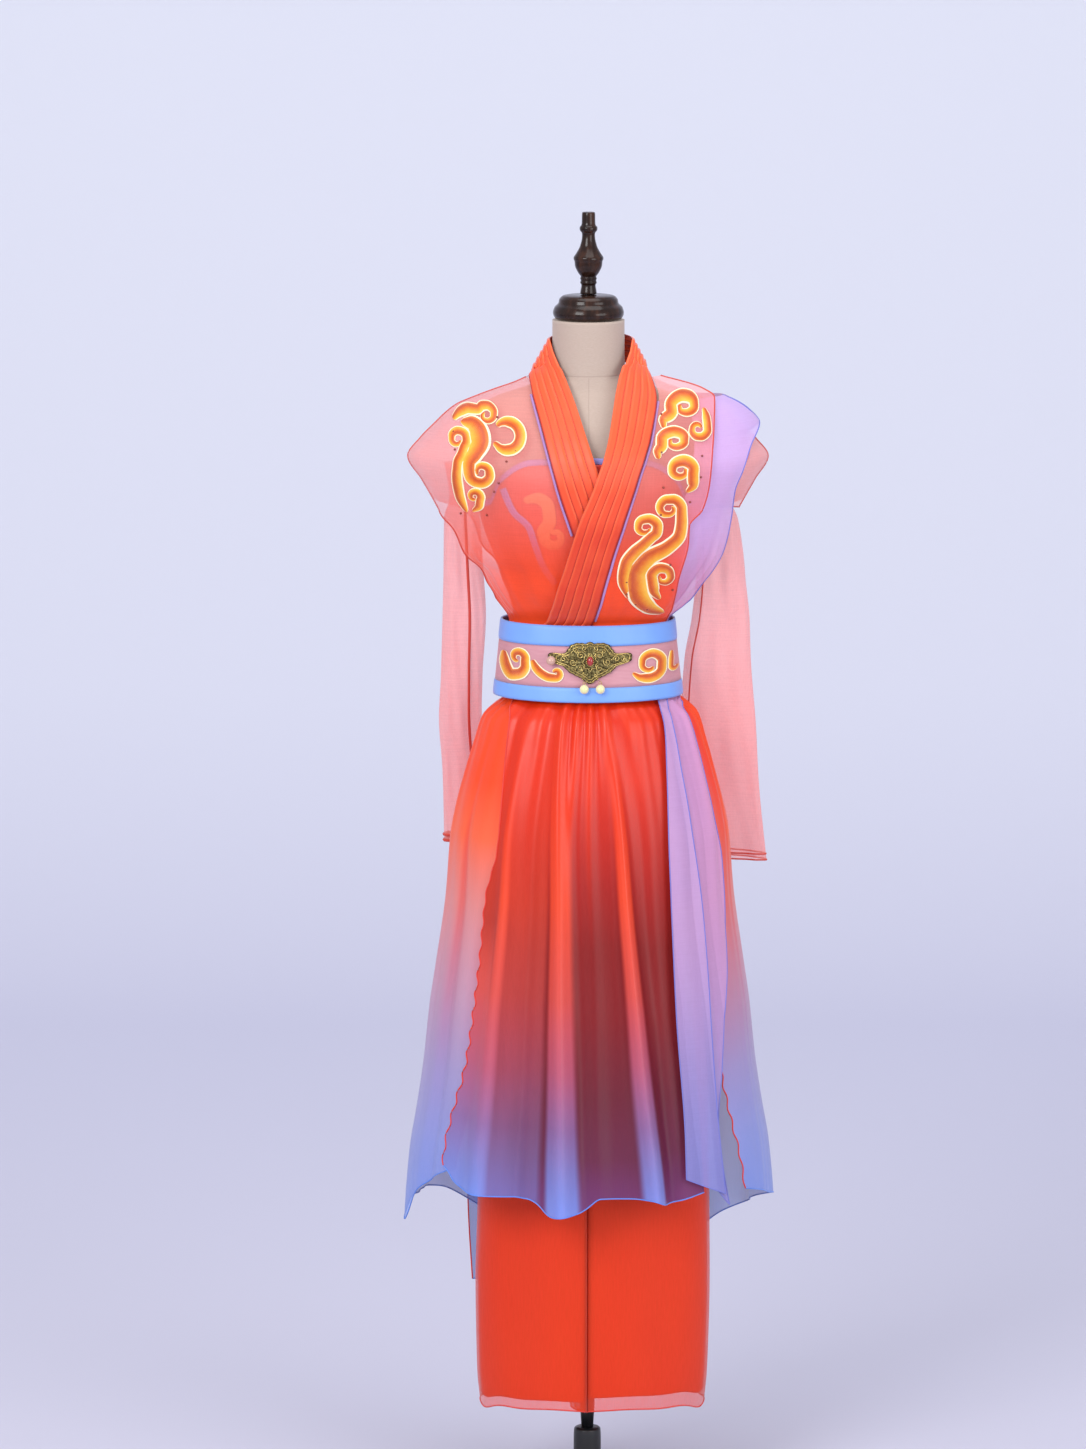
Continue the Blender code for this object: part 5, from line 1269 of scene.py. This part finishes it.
wires = []
for dx, dz in wire_lines():
    wx = PLATE_CENTRE[0] + dx
    wz = PLATE_CENTRE[1] + dz
    wires.append(BELT.spot(BELT.angle(wx, wz), wz, dome_at(wx, wz) + 0.0004))
rolled_edge("buckle_wires", wires, 0.00075, wire_brass)
GRAINS = [(PLATE_CENTRE[0] + s * gx, PLATE_CENTRE[1] + gz) for s in (1, -1) for gx, gz in (
    (0.003, 0.0235), (0.010, 0.0225), (0.018, 0.0205), (0.027, 0.0105), (0.036, 0.0105), (0.050, 0.0030),
    (0.027, -0.0060), (0.019, -0.0100), (0.015, -0.0150), (0.010, -0.0225), (0.004, -0.0255),
    (0.0275, 0.0030))]
place_piece("buckle_grains", beads("buckle_grains", BELT, GRAINS, 0.0011, dome_at), wire_brass, None)
ruby = Finish("red_glass_stone", 0.06, Coat_Weight=1.0, Coat_Roughness=0.03)
ruby.feed("Base Color", ruby.mix(ruby.noise(240.0), linear(188, 34, 28), linear(126, 14, 18)))
STONE_SPOT = (PLATE_CENTRE[0], 1.1570, 0.0096)


def ball(name, x, z, lift, radii):
    """A ball or an egg on the belt: a sphere's grid with its own radii."""
    middle = BELT.spot(BELT.angle(x, z), z, lift)
    return surface(name, middle + sphere(48, 24, 0.01) * np.array(radii), True, True)


place_piece("buckle_stone_glass", ball("buckle_stone_glass", *STONE_SPOT, (0.0042, 0.0038, 0.0062)), ruby,
            "buckle_stone")
claw_turn = np.linspace(0, 2 * math.pi, 90)
claw_x = STONE_SPOT[0] + 0.0047 * np.cos(claw_turn)
claw_z = STONE_SPOT[1] + 0.0067 * np.sin(claw_turn)
claw = BELT.spot(BELT.angle(claw_x, claw_z), claw_z, 0.0062 + 0.0004 * np.sin(16 * claw_turn))
rolled_edge("buckle_setting", [claw], 0.0008, wire_brass)
nacre = Finish("green_white_pearl", 0.16, Coat_Weight=0.8, Coat_Roughness=0.08, Sheen_Weight=0.5)
# Painted sheen: a paler cream toward the pearl's rim as the camera sees it.
painted_rim_sheen = nacre.node("ShaderNodeLayerWeight", None, 0.4, out="Facing")
shell_green = nacre.mix(nacre.noise(90.0), linear(232, 230, 170), linear(212, 216, 140))
nacre.feed("Base Color", nacre.mix(painted_rim_sheen, shell_green, linear(240, 226, 200)))
rose = Finish("rose_pearl", 0.2, Coat_Weight=0.7, Coat_Roughness=0.1)
rose.feed("Base Color", rose.mix(rose.noise(90.0), linear(214, 176, 160), linear(178, 132, 112)))
PEARL_RADIUS = 0.0062
for node, x, z, lift, finish in (
        ("pearl_left", -0.0055, 1.1200, 0.0068, nacre), ("pearl_right", 0.0150, 1.1200, 0.0068, nacre),
        ("pearl_side", -0.0470, 1.1570, 0.0098, rose)):
    pearl = ball(node + "_nacre", x, z, lift, (PEARL_RADIUS,) * 3)
    place_piece(node + "_nacre", pearl, finish, node)
hangers = []
for x in (-0.0055, 0.0150):
    loop_turn = np.linspace(0, 2 * math.pi, 40)
    hx = x + 0.0016 * np.cos(loop_turn)
    hz = 1.1280 + 0.0024 * np.sin(loop_turn)
    hangers.append(BELT.spot(BELT.angle(hx, hz), hz, 0.0052))
rolled_edge("pearl_hangers", hangers, 0.0005, wire_brass)

# Overskirt: gathered organza-backed satin dyed in shades, vermilion at the belt through rose to
# lilac-blue at the hem. A front panel, a side panel and a longer back panel, with rolled edges.
SKIRT_TOP = 1.1140
SKIRT = Ring((
    (0.240, 0.2500, 0.1750, 0.1880), (0.400, 0.2445, 0.1680, 0.1800), (0.480, 0.2385, 0.1640, 0.1770),
    (0.540, 0.2290, 0.1590, 0.1730), (0.600, 0.2205, 0.1540, 0.1690), (0.680, 0.2125, 0.1480, 0.1650),
    (0.740, 0.2040, 0.1430, 0.1620), (0.830, 0.1920, 0.1370, 0.1570), (0.913, 0.1860, 0.1290, 0.1510),
    (0.952, 0.1790, 0.1240, 0.1460), (1.000, 0.1665, 0.1160, 0.1360), (1.040, 0.1545, 0.1080, 0.1230),
    (1.074, 0.1430, 0.0990, 0.1080), (1.090, 0.1265, 0.0895, 0.0940), (1.100, 0.1145, 0.0812, 0.0842),
    (1.116, 0.1105, 0.0775, 0.0800),
))


def dip_dye_painted_shade(name, ridge_stops, hollow_shade_stops, top_cover, hem_cover, glow):
    """Dip-dyed cloth by height: one run of colours for its ridges, a darker one for its hollows as painted
    shade over the dye, and a faint painted glow of its own colour.
    """
    made = Finish(name, 0.36, Sheen_Weight=0.10, Sheen_Roughness=0.3, Specular_IOR_Level=0.4,
                  Emission_Strength=glow)
    up = made.axis("Z") + 0.05 * (made.noise(7.0, (1.0, 1.0, 0.4)) - 0.5)
    ridges = made.ramp(up, ridge_stops)
    hollow_shade = made.ramp(up, hollow_shade_stops)
    # Painted shade: the hollows take the darker run of colours and the ridges the lighter one, by the fold
    # mark.
    fold = made.step(made.mark("fold") + 0.16 * (made.noise(24.0, (1.0, 1.0, 0.12)) - 0.5), 0.20, 0.80)
    upright = made.noise(800.0, (1.0, 1.0, 0.04), 2.0)
    dyed = made.mix(fold, hollow_shade, ridges)
    dyed = made.mix(upright * 0.16, dyed, linear(255, 150, 120), "SOFT_LIGHT")
    made.feed("Base Color", dyed)
    # Painted glow: the cloth's own colour given off as a faint emission.
    made.feed("Emission Color", dyed)
    low = made.step(up, 0.40, 0.95)
    made.feed("Alpha", hem_cover + (top_cover - hem_cover) * low + 0.08 * (upright - 0.5))
    made.feed("Roughness", 0.30 + 0.16 * upright)
    made.bump(upright + made.noise(60.0, (1.0, 1.0, 0.15)), 0.10, 0.0005)
    return made


front_dye_and_shade = dip_dye_painted_shade("front_panel_dip_dye_painted_shade", (
    (0.43, linear(108, 142, 222)), (0.48, linear(118, 128, 196)), (0.54, linear(134, 102, 154)),
    (0.62, linear(176, 86, 112)), (0.72, linear(206, 76, 68)), (0.84, linear(224, 68, 34)),
    (0.95, linear(218, 52, 10)), (1.00, linear(214, 48, 8)),
), (
    (0.43, linear(96, 50, 108)), (0.50, linear(92, 34, 66)), (0.58, linear(98, 24, 44)),
    (0.68, linear(120, 15, 22)), (0.78, linear(126, 15, 11)), (0.86, linear(154, 20, 9)),
    (0.95, linear(186, 32, 8)), (1.00, linear(204, 40, 8)),
), 0.98, 0.90, 0.04)
side_dye_and_shade = dip_dye_painted_shade("side_panel_dip_dye_painted_shade", (
    (0.38, linear(118, 150, 218)), (0.50, linear(144, 156, 208)), (0.60, linear(162, 156, 194)),
    (0.70, linear(184, 150, 174)), (0.82, linear(210, 132, 130)), (0.92, linear(232, 98, 62)),
    (1.00, linear(232, 70, 26)),
), (
    (0.38, linear(104, 142, 226)), (0.50, linear(128, 146, 214)), (0.60, linear(152, 142, 194)),
    (0.70, linear(182, 126, 154)), (0.82, linear(212, 102, 98)), (0.92, linear(226, 78, 52)),
    (1.00, linear(230, 58, 30)),
), 0.95, 0.70, 0.12)
red_roll = satin("red_rolled_edge", linear(232, 72, 56), linear(204, 50, 42), 0.45)
hem_roll = satin("blue_rolled_hem", linear(98, 142, 226), linear(86, 128, 216), 0.45)
FRONT_FOLDS = (
    (-34, -37, 7.0, 0.016), (-23, -24, 3.5, -0.006), (-14, -8, 6.0, 0.030), (-4, 4, 4.5, 0.004),
    (10, 21, 4.6, 0.024), (20, 28, 3.0, -0.004),
)
SIDE_FOLDS = (
    (-62, -66, 6.0, -0.008), (-84, -88, 7.0, 0.006), (-104, -102, 6.0, -0.006), (-118, -118, 5.0, 0.008),
)
BACK_FOLDS = tuple((98 + 23.0 * k, 101 + 23.0 * k, 7.5, 0.020 if k % 2 else 0.012) for k in range(5))
INNER_LAYER = -0.0036


def fold_lift(angle, height, folds, gathers, deep):
    """Ridges from a table that grow from belt to hem, and small gathers that die out below the belt.

    Columns: angle at the belt, angle at the hem, half width at the hem in degrees, rise at the hem.
    """
    drop = np.clip((SKIRT_TOP - height) / (SKIRT_TOP - 0.44), 0, 1.25)
    turn = np.degrees(angle)
    total = 0 * turn
    for top, hem, half, rise in folds:
        middle = top + (hem - top) * drop
        spread = 3.2 + (half - 3.2) * np.minimum(drop, 1)
        total = total + rise * drop ** 0.8 * np.exp(-(((turn - middle) / spread) ** 2) * 1.5)
    fade = np.clip(drop / 0.05, 0, 1) * np.exp(-drop / 0.16)
    return total + deep * fade * (1 + np.sin(turn * gathers))


def fine_gathers(angle, height):
    """Uneven soft gathers under the belt that die out at their own heights, and long faint ones."""
    drop = np.clip((SKIRT_TOP - height) / 0.67, 0, 1.2)
    turn = np.degrees(angle) + 1.5 * np.sin(7.0 * drop + np.degrees(angle) * 0.05)
    uneven = turn * 0.22 + 1.9 * np.sin(turn * 0.083) + 1.1 * np.sin(turn * 0.047 + 1.0)
    sharp = np.abs(np.sin(uneven)) ** 2.2
    reach = 0.10 + 0.30 * (0.5 + 0.5 * np.sin(turn * 0.13 + 2.0)) ** 2
    long = np.sin(turn * 0.40 + 2.2 * drop) * np.sin(turn * 0.17)
    near = np.clip(drop / 0.04, 0, 1) * np.exp(-drop / reach)
    return 0.0052 * sharp * near + 0.0010 * long * np.clip(drop / 0.2, 0, 1)


def hem_of(rows):
    """A hem's height across its panel, from rows of share and height."""
    return lambda across: through(*np.array(rows).T, across)


def degrees_edge(rows):
    """An edge from rows of height and angle in degrees."""
    rows = np.array(sorted(rows))
    return lambda height: np.radians(through(rows[:, 0], rows[:, 1], height))


def wavy(edge, size, pitch, top):
    """An edge that the rolled hem has stretched into small waves, calmer above a height."""
    def waved(height):
        calm = np.clip((top - height) / 0.2, 0, 1)
        return edge(height) + size * np.sin(2 * math.pi * height / pitch + 3 * np.sin(9 * height)) * calm

    return waved


FRONT_LEFT_EDGE = (
    (0.460, -0.1956), (0.502, -0.1916), (0.545, -0.1816), (0.610, -0.1650), (0.671, -0.1554),
    (0.759, -0.1447), (0.842, -0.1367), (0.906, -0.1206), (1.000, -0.1130), (1.114, -0.0980),
)
FRONT_RIGHT_EDGE = ((0.430, 0.1560), (0.600, 0.1450), (0.800, 0.1300), (1.000, 0.1130), (1.114, 0.1000))
FRONT_HEM = (
    (0.0, 0.476), (0.10, 0.452), (0.20, 0.445), (0.36, 0.444), (0.46, 0.424), (0.54, 0.428),
    (0.62, 0.446), (0.78, 0.444), (0.84, 0.436), (1.0, 0.446),
)


def fold_share(lift, height, deepest, span):
    """How much of a ridge a point is on, from 0 in a hollow to 1 on a ridge near the hem."""
    drop = np.clip((SKIRT_TOP - height) / 0.67, 0.02, 1.2)
    return np.clip((lift - deepest) / (span * drop ** 0.8), 0, 1)


def front_lift(angle, height):
    return fold_lift(angle, height, FRONT_FOLDS, 0.95, 0.0006) + fine_gathers(angle, height)


front_points, front_angle, front_height = panel(
    SKIRT, hem_of(FRONT_HEM), level(SKIRT_TOP), wavy(edge_at(SKIRT, FRONT_LEFT_EDGE), 0.012, 0.030, 0.95),
    edge_at(SKIRT, FRONT_RIGHT_EDGE), front_lift, 260, 260)
front_fold = fold_share(front_lift(front_angle, front_height), front_height, 0.001, 0.018)
# The painted hollow shade is lessened near the left edge, more so lower down, and by about half across the
# left part of the panel.
left_edge_less_shade = np.clip((np.radians(-33) - front_angle) / 0.10, 0, 1)
left_edge_less_shade = left_edge_less_shade * np.clip((0.95 - front_height) / 0.3, 0, 1)
left_side_less_shade = 0.47 * np.clip((-12.0 - np.degrees(front_angle)) / 5.0, 0, 1)
front_marks = {"fold": np.maximum(np.maximum(front_fold, left_edge_less_shade), left_side_less_shade)}
skirt_front = cloth("skirt_front", front_points, front_dye_and_shade, marks=front_marks)
front_edge = rolled_edge("skirt_front_side_roll", [front_points[:, 0]], 0.0011, red_roll)
front_hem = rolled_edge("skirt_front_hem_roll", [front_points[0]], FINE_ROLL, hem_roll)
SIDE_HEM = (
    (0.0, 0.474), (0.05, 0.468), (0.175, 0.449), (0.30, 0.420), (0.39, 0.382), (0.50, 0.410),
    (0.75, 0.405), (1.0, 0.360),
)


def side_lift(angle, height):
    return INNER_LAYER + fold_lift(angle, height, SIDE_FOLDS, 0.9, 0.0) + 0.4 * fine_gathers(angle, height)


side_points, side_angle, side_height = panel(
    SKIRT, lambda u: hem_of(SIDE_HEM)(1 - u), level(SKIRT_TOP),
    degrees_edge(((0.37, -146), (0.7, -146), (1.114, -146))),
    degrees_edge(((0.37, -50), (0.47, -49), (0.60, -44), (0.75, -41), (0.90, -36), (1.00, -38),
                  (1.114, -44))),
    side_lift, 240, 140)
side_marks = {"fold": fold_share(side_lift(side_angle, side_height), side_height, -0.008, 0.012)}
skirt_side = cloth("skirt_side_left", side_points, side_dye_and_shade, marks=side_marks)
side_edge = rolled_edge("skirt_side_roll", [side_points[:, 0], side_points[:, -1]], FINE_ROLL, red_roll)
side_hem = rolled_edge("skirt_side_hem_roll", [side_points[0]], FINE_ROLL, hem_roll)
BACK_HEM = (
    (0.0, 0.440), (0.16, 0.420), (0.36, 0.385), (0.55, 0.320), (0.75, 0.270), (0.90, 0.258), (1.0, 0.262),
)


def back_lift(angle, height):
    """The back panel's folds; its edge at +X passes under the front and lilac panels."""
    under = np.clip((np.radians(88) - angle) / np.radians(12), 0, 1)
    folds = fold_lift(angle, height, BACK_FOLDS, 0.93, 0.0006) + fine_gathers(angle, height)
    return INNER_LAYER * under + (1 - under) * folds


behind_points, behind_angle, behind_height = panel(
    SKIRT, hem_of(BACK_HEM), level(SKIRT_TOP),
    wavy(degrees_edge(((0.40, 63), (0.443, 62), (0.628, 54.6), (0.90, 53), (1.114, 52))), 0.012, 0.032, 0.85),
    degrees_edge(((0.25, 219), (0.40, 222), (0.80, 224), (1.114, 226))),
    back_lift, 260, 260)
behind_marks = {"fold": fold_share(back_lift(behind_angle, behind_height), behind_height, -0.002, 0.014)}
skirt_behind = cloth("skirt_back", behind_points, side_dye_and_shade, marks=behind_marks)
behind_edge = rolled_edge("skirt_back_side_roll", [behind_points[:, 0], behind_points[:, -1]], ROLL, red_roll)
behind_hem = rolled_edge("skirt_back_hem_roll", [behind_points[0]], FINE_ROLL, hem_roll)

# Lilac panels: two narrow tails of lilac organza, the inner over the outer, that hang from the
# belt over the front panel, each with a fine blue-violet roll down both sides.
LILAC_IN = (
    (0.430, 0.127), (0.521, 0.1246), (0.685, 0.1126), (0.869, 0.1045), (1.0075, 0.0990), (1.063, 0.0965),
    (1.114, 0.0860),
)
LILAC_MIDDLE = (
    (0.430, 0.1790), (0.496, 0.1715), (0.6305, 0.1600), (0.739, 0.1520), (0.856, 0.1410), (0.953, 0.1280),
    (1.0075, 0.1180), (1.097, 0.1010), (1.114, 0.0960),
)
LILAC_OUT = (
    (0.420, 0.1860), (0.485, 0.1755), (0.545, 0.1700), (0.606, 0.1735), (0.739, 0.1796), (0.884, 0.1730),
    (0.948, 0.1620), (0.994, 0.1510), (1.063, 0.1320), (1.114, 0.1100),
)
LILAC_LIFT = 0.0058
LILAC_ROLL = 0.0008
lilac_organza = organza("lilac_organza_weave", linear(194, 156, 196), linear(172, 136, 184), 0.88,
                       linear(124, 124, 186))
rosy_lilac = organza("rosy_lilac_organza_weave", linear(204, 154, 192), linear(182, 134, 182), 0.86,
                     linear(134, 128, 188))


def lilac_base(height):
    """The lift over the front panel: close at the belt, freer below."""
    return 0.0029 + (LILAC_LIFT - 0.0029) * np.clip((SKIRT_TOP - height) / 0.06, 0, 1)


def over_front(angle, height):
    """The lift that clears the front panel's ridges and gathers, with a few soft folds of its own."""
    own = 0.0022 * np.abs(np.sin(np.degrees(angle) * 0.30 + 3 * height))
    own = own * np.clip((1.05 - height) / 0.2, 0, 1)
    return lilac_base(height) + np.maximum(front_lift(angle, height), 0) + own


outer_points, _, _ = panel(
    SKIRT, lambda u: 0.446 - 0.020 * u, level(SKIRT_TOP),
    lambda h: edge_at(SKIRT, LILAC_MIDDLE)(h) - math.radians(2.5), edge_at(SKIRT, LILAC_OUT),
    over_front, 220, 70)
outer_tail = cloth("lilac_panel_outer", outer_points, rosy_lilac)
outer_roll = rolled_edge("lilac_outer_roll", [outer_points[:, 0], outer_points[:, -1], outer_points[0]],
                         LILAC_ROLL, blue_roll)
inner_points, _, _ = panel(
    SKIRT, lambda u: 0.468 - 0.026 * u, level(SKIRT_TOP),
    edge_at(SKIRT, LILAC_IN), edge_at(SKIRT, LILAC_MIDDLE),
    lambda a, h: over_front(a, h) + 0.0018 + 0.0018 * np.clip((1.09 - h) / 0.05, 0, 1), 220, 70)
inner_tail = cloth("lilac_panel_inner", inner_points, lilac_organza)
inner_roll = rolled_edge("lilac_inner_roll", [inner_points[:, 0], inner_points[:, -1], inner_points[0]],
                         LILAC_ROLL, blue_roll)

# Trousers: wide legs of vermilion chiffon on a fitted seat, each with a plain lining that stops
# a finger's width short of the hem, so the chiffon's edge is sheer.
CROTCH = 0.862
TROUSER_HEM = 0.132
LINING_HEM = 0.145
LINING_TOP = 0.845
LEG_LEFT = (
    (0.120, 0.1450), (0.175, 0.1500), (0.300, 0.1520), (0.416, 0.1490), (0.600, 0.1500), (0.862, 0.1580),
)
LEG_RIGHT = (
    (0.120, 0.1580), (0.175, 0.1630), (0.300, 0.1660), (0.416, 0.1650), (0.600, 0.1620), (0.862, 0.1580),
)
LEG_FRONT = ((0.120, 0.086), (0.300, 0.090), (0.600, 0.093), (0.862, 0.096))
LEG_BACK = ((0.120, 0.088), (0.300, 0.093), (0.600, 0.098), (0.862, 0.104))
TROUSERS = Ring((
    (0.862, 0.158, 0.096, 0.104), (0.900, 0.157, 0.097, 0.108), (0.950, 0.153, 0.095, 0.107),
    (1.020, 0.140, 0.090, 0.100), (1.100, 0.1080, 0.0700, 0.0765), (1.135, 0.1000, 0.0630, 0.0690),
))
chiffon = Finish("vermilion_chiffon_weave", 0.6, Sheen_Weight=0.3, Sheen_Roughness=0.45,
                 Specular_IOR_Level=0.25)
grain_up = chiffon.noise(620.0, (1.0, 1.0, 0.10), 2.0)
cloudy = chiffon.noise(9.0, (1.0, 1.0, 0.5), 3.0)
grain_share = grain_up * 0.4
vermilion = chiffon.mix(cloudy, linear(244, 74, 22), linear(232, 58, 18))
chiffon.feed("Base Color", chiffon.mix(grain_share, vermilion, linear(214, 42, 24)))
chiffon.feed("Alpha", 0.62 + 0.2 * (grain_up - 0.5))
chiffon.bump(grain_up + cloudy, 0.12, 0.0004)
lining_cloth = satin("vermilion_lining", linear(250, 70, 32), linear(238, 56, 26), 0.6)
seat_turn = np.linspace(0, 2 * math.pi, 200, endpoint=False)[None, :]
seat_height = np.linspace(CROTCH + SEAM, 1.135, 80)[:, None]
seat_ease = 0.0006 * np.sin(9 * seat_turn) * np.clip((1.1 - seat_height) / 0.05, 0, 1)
seat = cloth("trousers_top", TROUSERS.spot(seat_turn, seat_height, seat_ease), lining_cloth,
             True)


def leg_points(side, reach_rows, inset, wall_x, hem, top, hem_wave, rows):
    """A leg's sections: an oval outer side, an inner side that bends round the pole, soft long folds."""
    outer = np.linspace(0, math.pi, 110)
    inner = np.linspace(1, -1, 62)[1:-1]
    turn = np.concatenate([outer, 0 * inner])[None, :]
    run = np.concatenate([0 * outer, inner])[None, :]
    curved = np.arange(turn.size)[None, :] < len(outer)
    up = np.linspace(0, 1, rows)[:, None]
    wave = np.where(curved, np.sin(turn * 3.0 + 0.6) + 0.5 * np.sin(turn * 9.0) * np.sin(turn), 0.0)
    height = (hem + hem_wave * wave) * (1 - up) + top * up
    reach = through(*np.array(reach_rows).T, height) - inset
    front = through(*np.array(LEG_FRONT).T, height) - inset
    back = through(*np.array(LEG_BACK).T, height) - inset
    ripple = 0.006 * np.sin(4 * turn + 5 * height) * np.clip((0.7 - height) / 0.4, 0, 1)
    fine = 0.0012 * np.sin(11 * turn - 6 * height) * np.sin(turn)
    ripple = ripple + fine * np.clip((0.7 - height) / 0.3, 0, 1)
    edge = 0.0012 + 0.9 * inset
    outer_x = edge + (reach - edge) * np.sin(turn) ** 0.85
    outer_y = -np.cos(turn)
    outer_y = outer_y * (np.where(outer_y < 0, front, back) + ripple)
    bend = np.clip(1.12 * (1 - run ** 4), 0, 1)
    inner_x = edge * (1 - bend) + side * wall_x * bend
    inner_y = run * np.where(run < 0, front, back)
    x = side * np.where(curved, outer_x, inner_x)
    y = np.where(curved, outer_y, inner_y)
    grid = np.stack([x, y, height], -1)
    return grid[:, ::-1] if side < 0 else grid


LINING_INSET = 0.0036
# Top height, wave of the hem and finish
SHELL = (CROTCH, 0.005, chiffon)
LINING = (LINING_TOP, 0.004, lining_cloth)
for node, side, reach_rows, inset, wall_x, hem, (top, hem_wave, finish), flat, area in (
        ("leg_right", 1, LEG_RIGHT, 0.0, -0.0170, TROUSER_HEM, SHELL, (0.62, 0.735), 0.42),
        ("leg_left", -1, LEG_LEFT, 0.0, -0.0225, TROUSER_HEM, SHELL, (0.60, 0.735), 0.40),
        ("lining_right", 1, LEG_RIGHT, LINING_INSET, -0.0136, LINING_HEM + 0.006, LINING, (0.58, 0.69), 0.38),
        ("lining_left", -1, LEG_LEFT, LINING_INSET, -0.0262, LINING_HEM, LINING, (0.56, 0.69), 0.36)):
    tube = leg_points(side, reach_rows, inset, wall_x, hem, top, hem_wave, 150)
    trouser_leg = cloth(node, tube, finish, True)
    hem_line = rolled_edge(node + "_hem_roll", [np.concatenate([tube[0], tube[0][:1]])], FINE_ROLL, red_roll)

low, high = cad_box
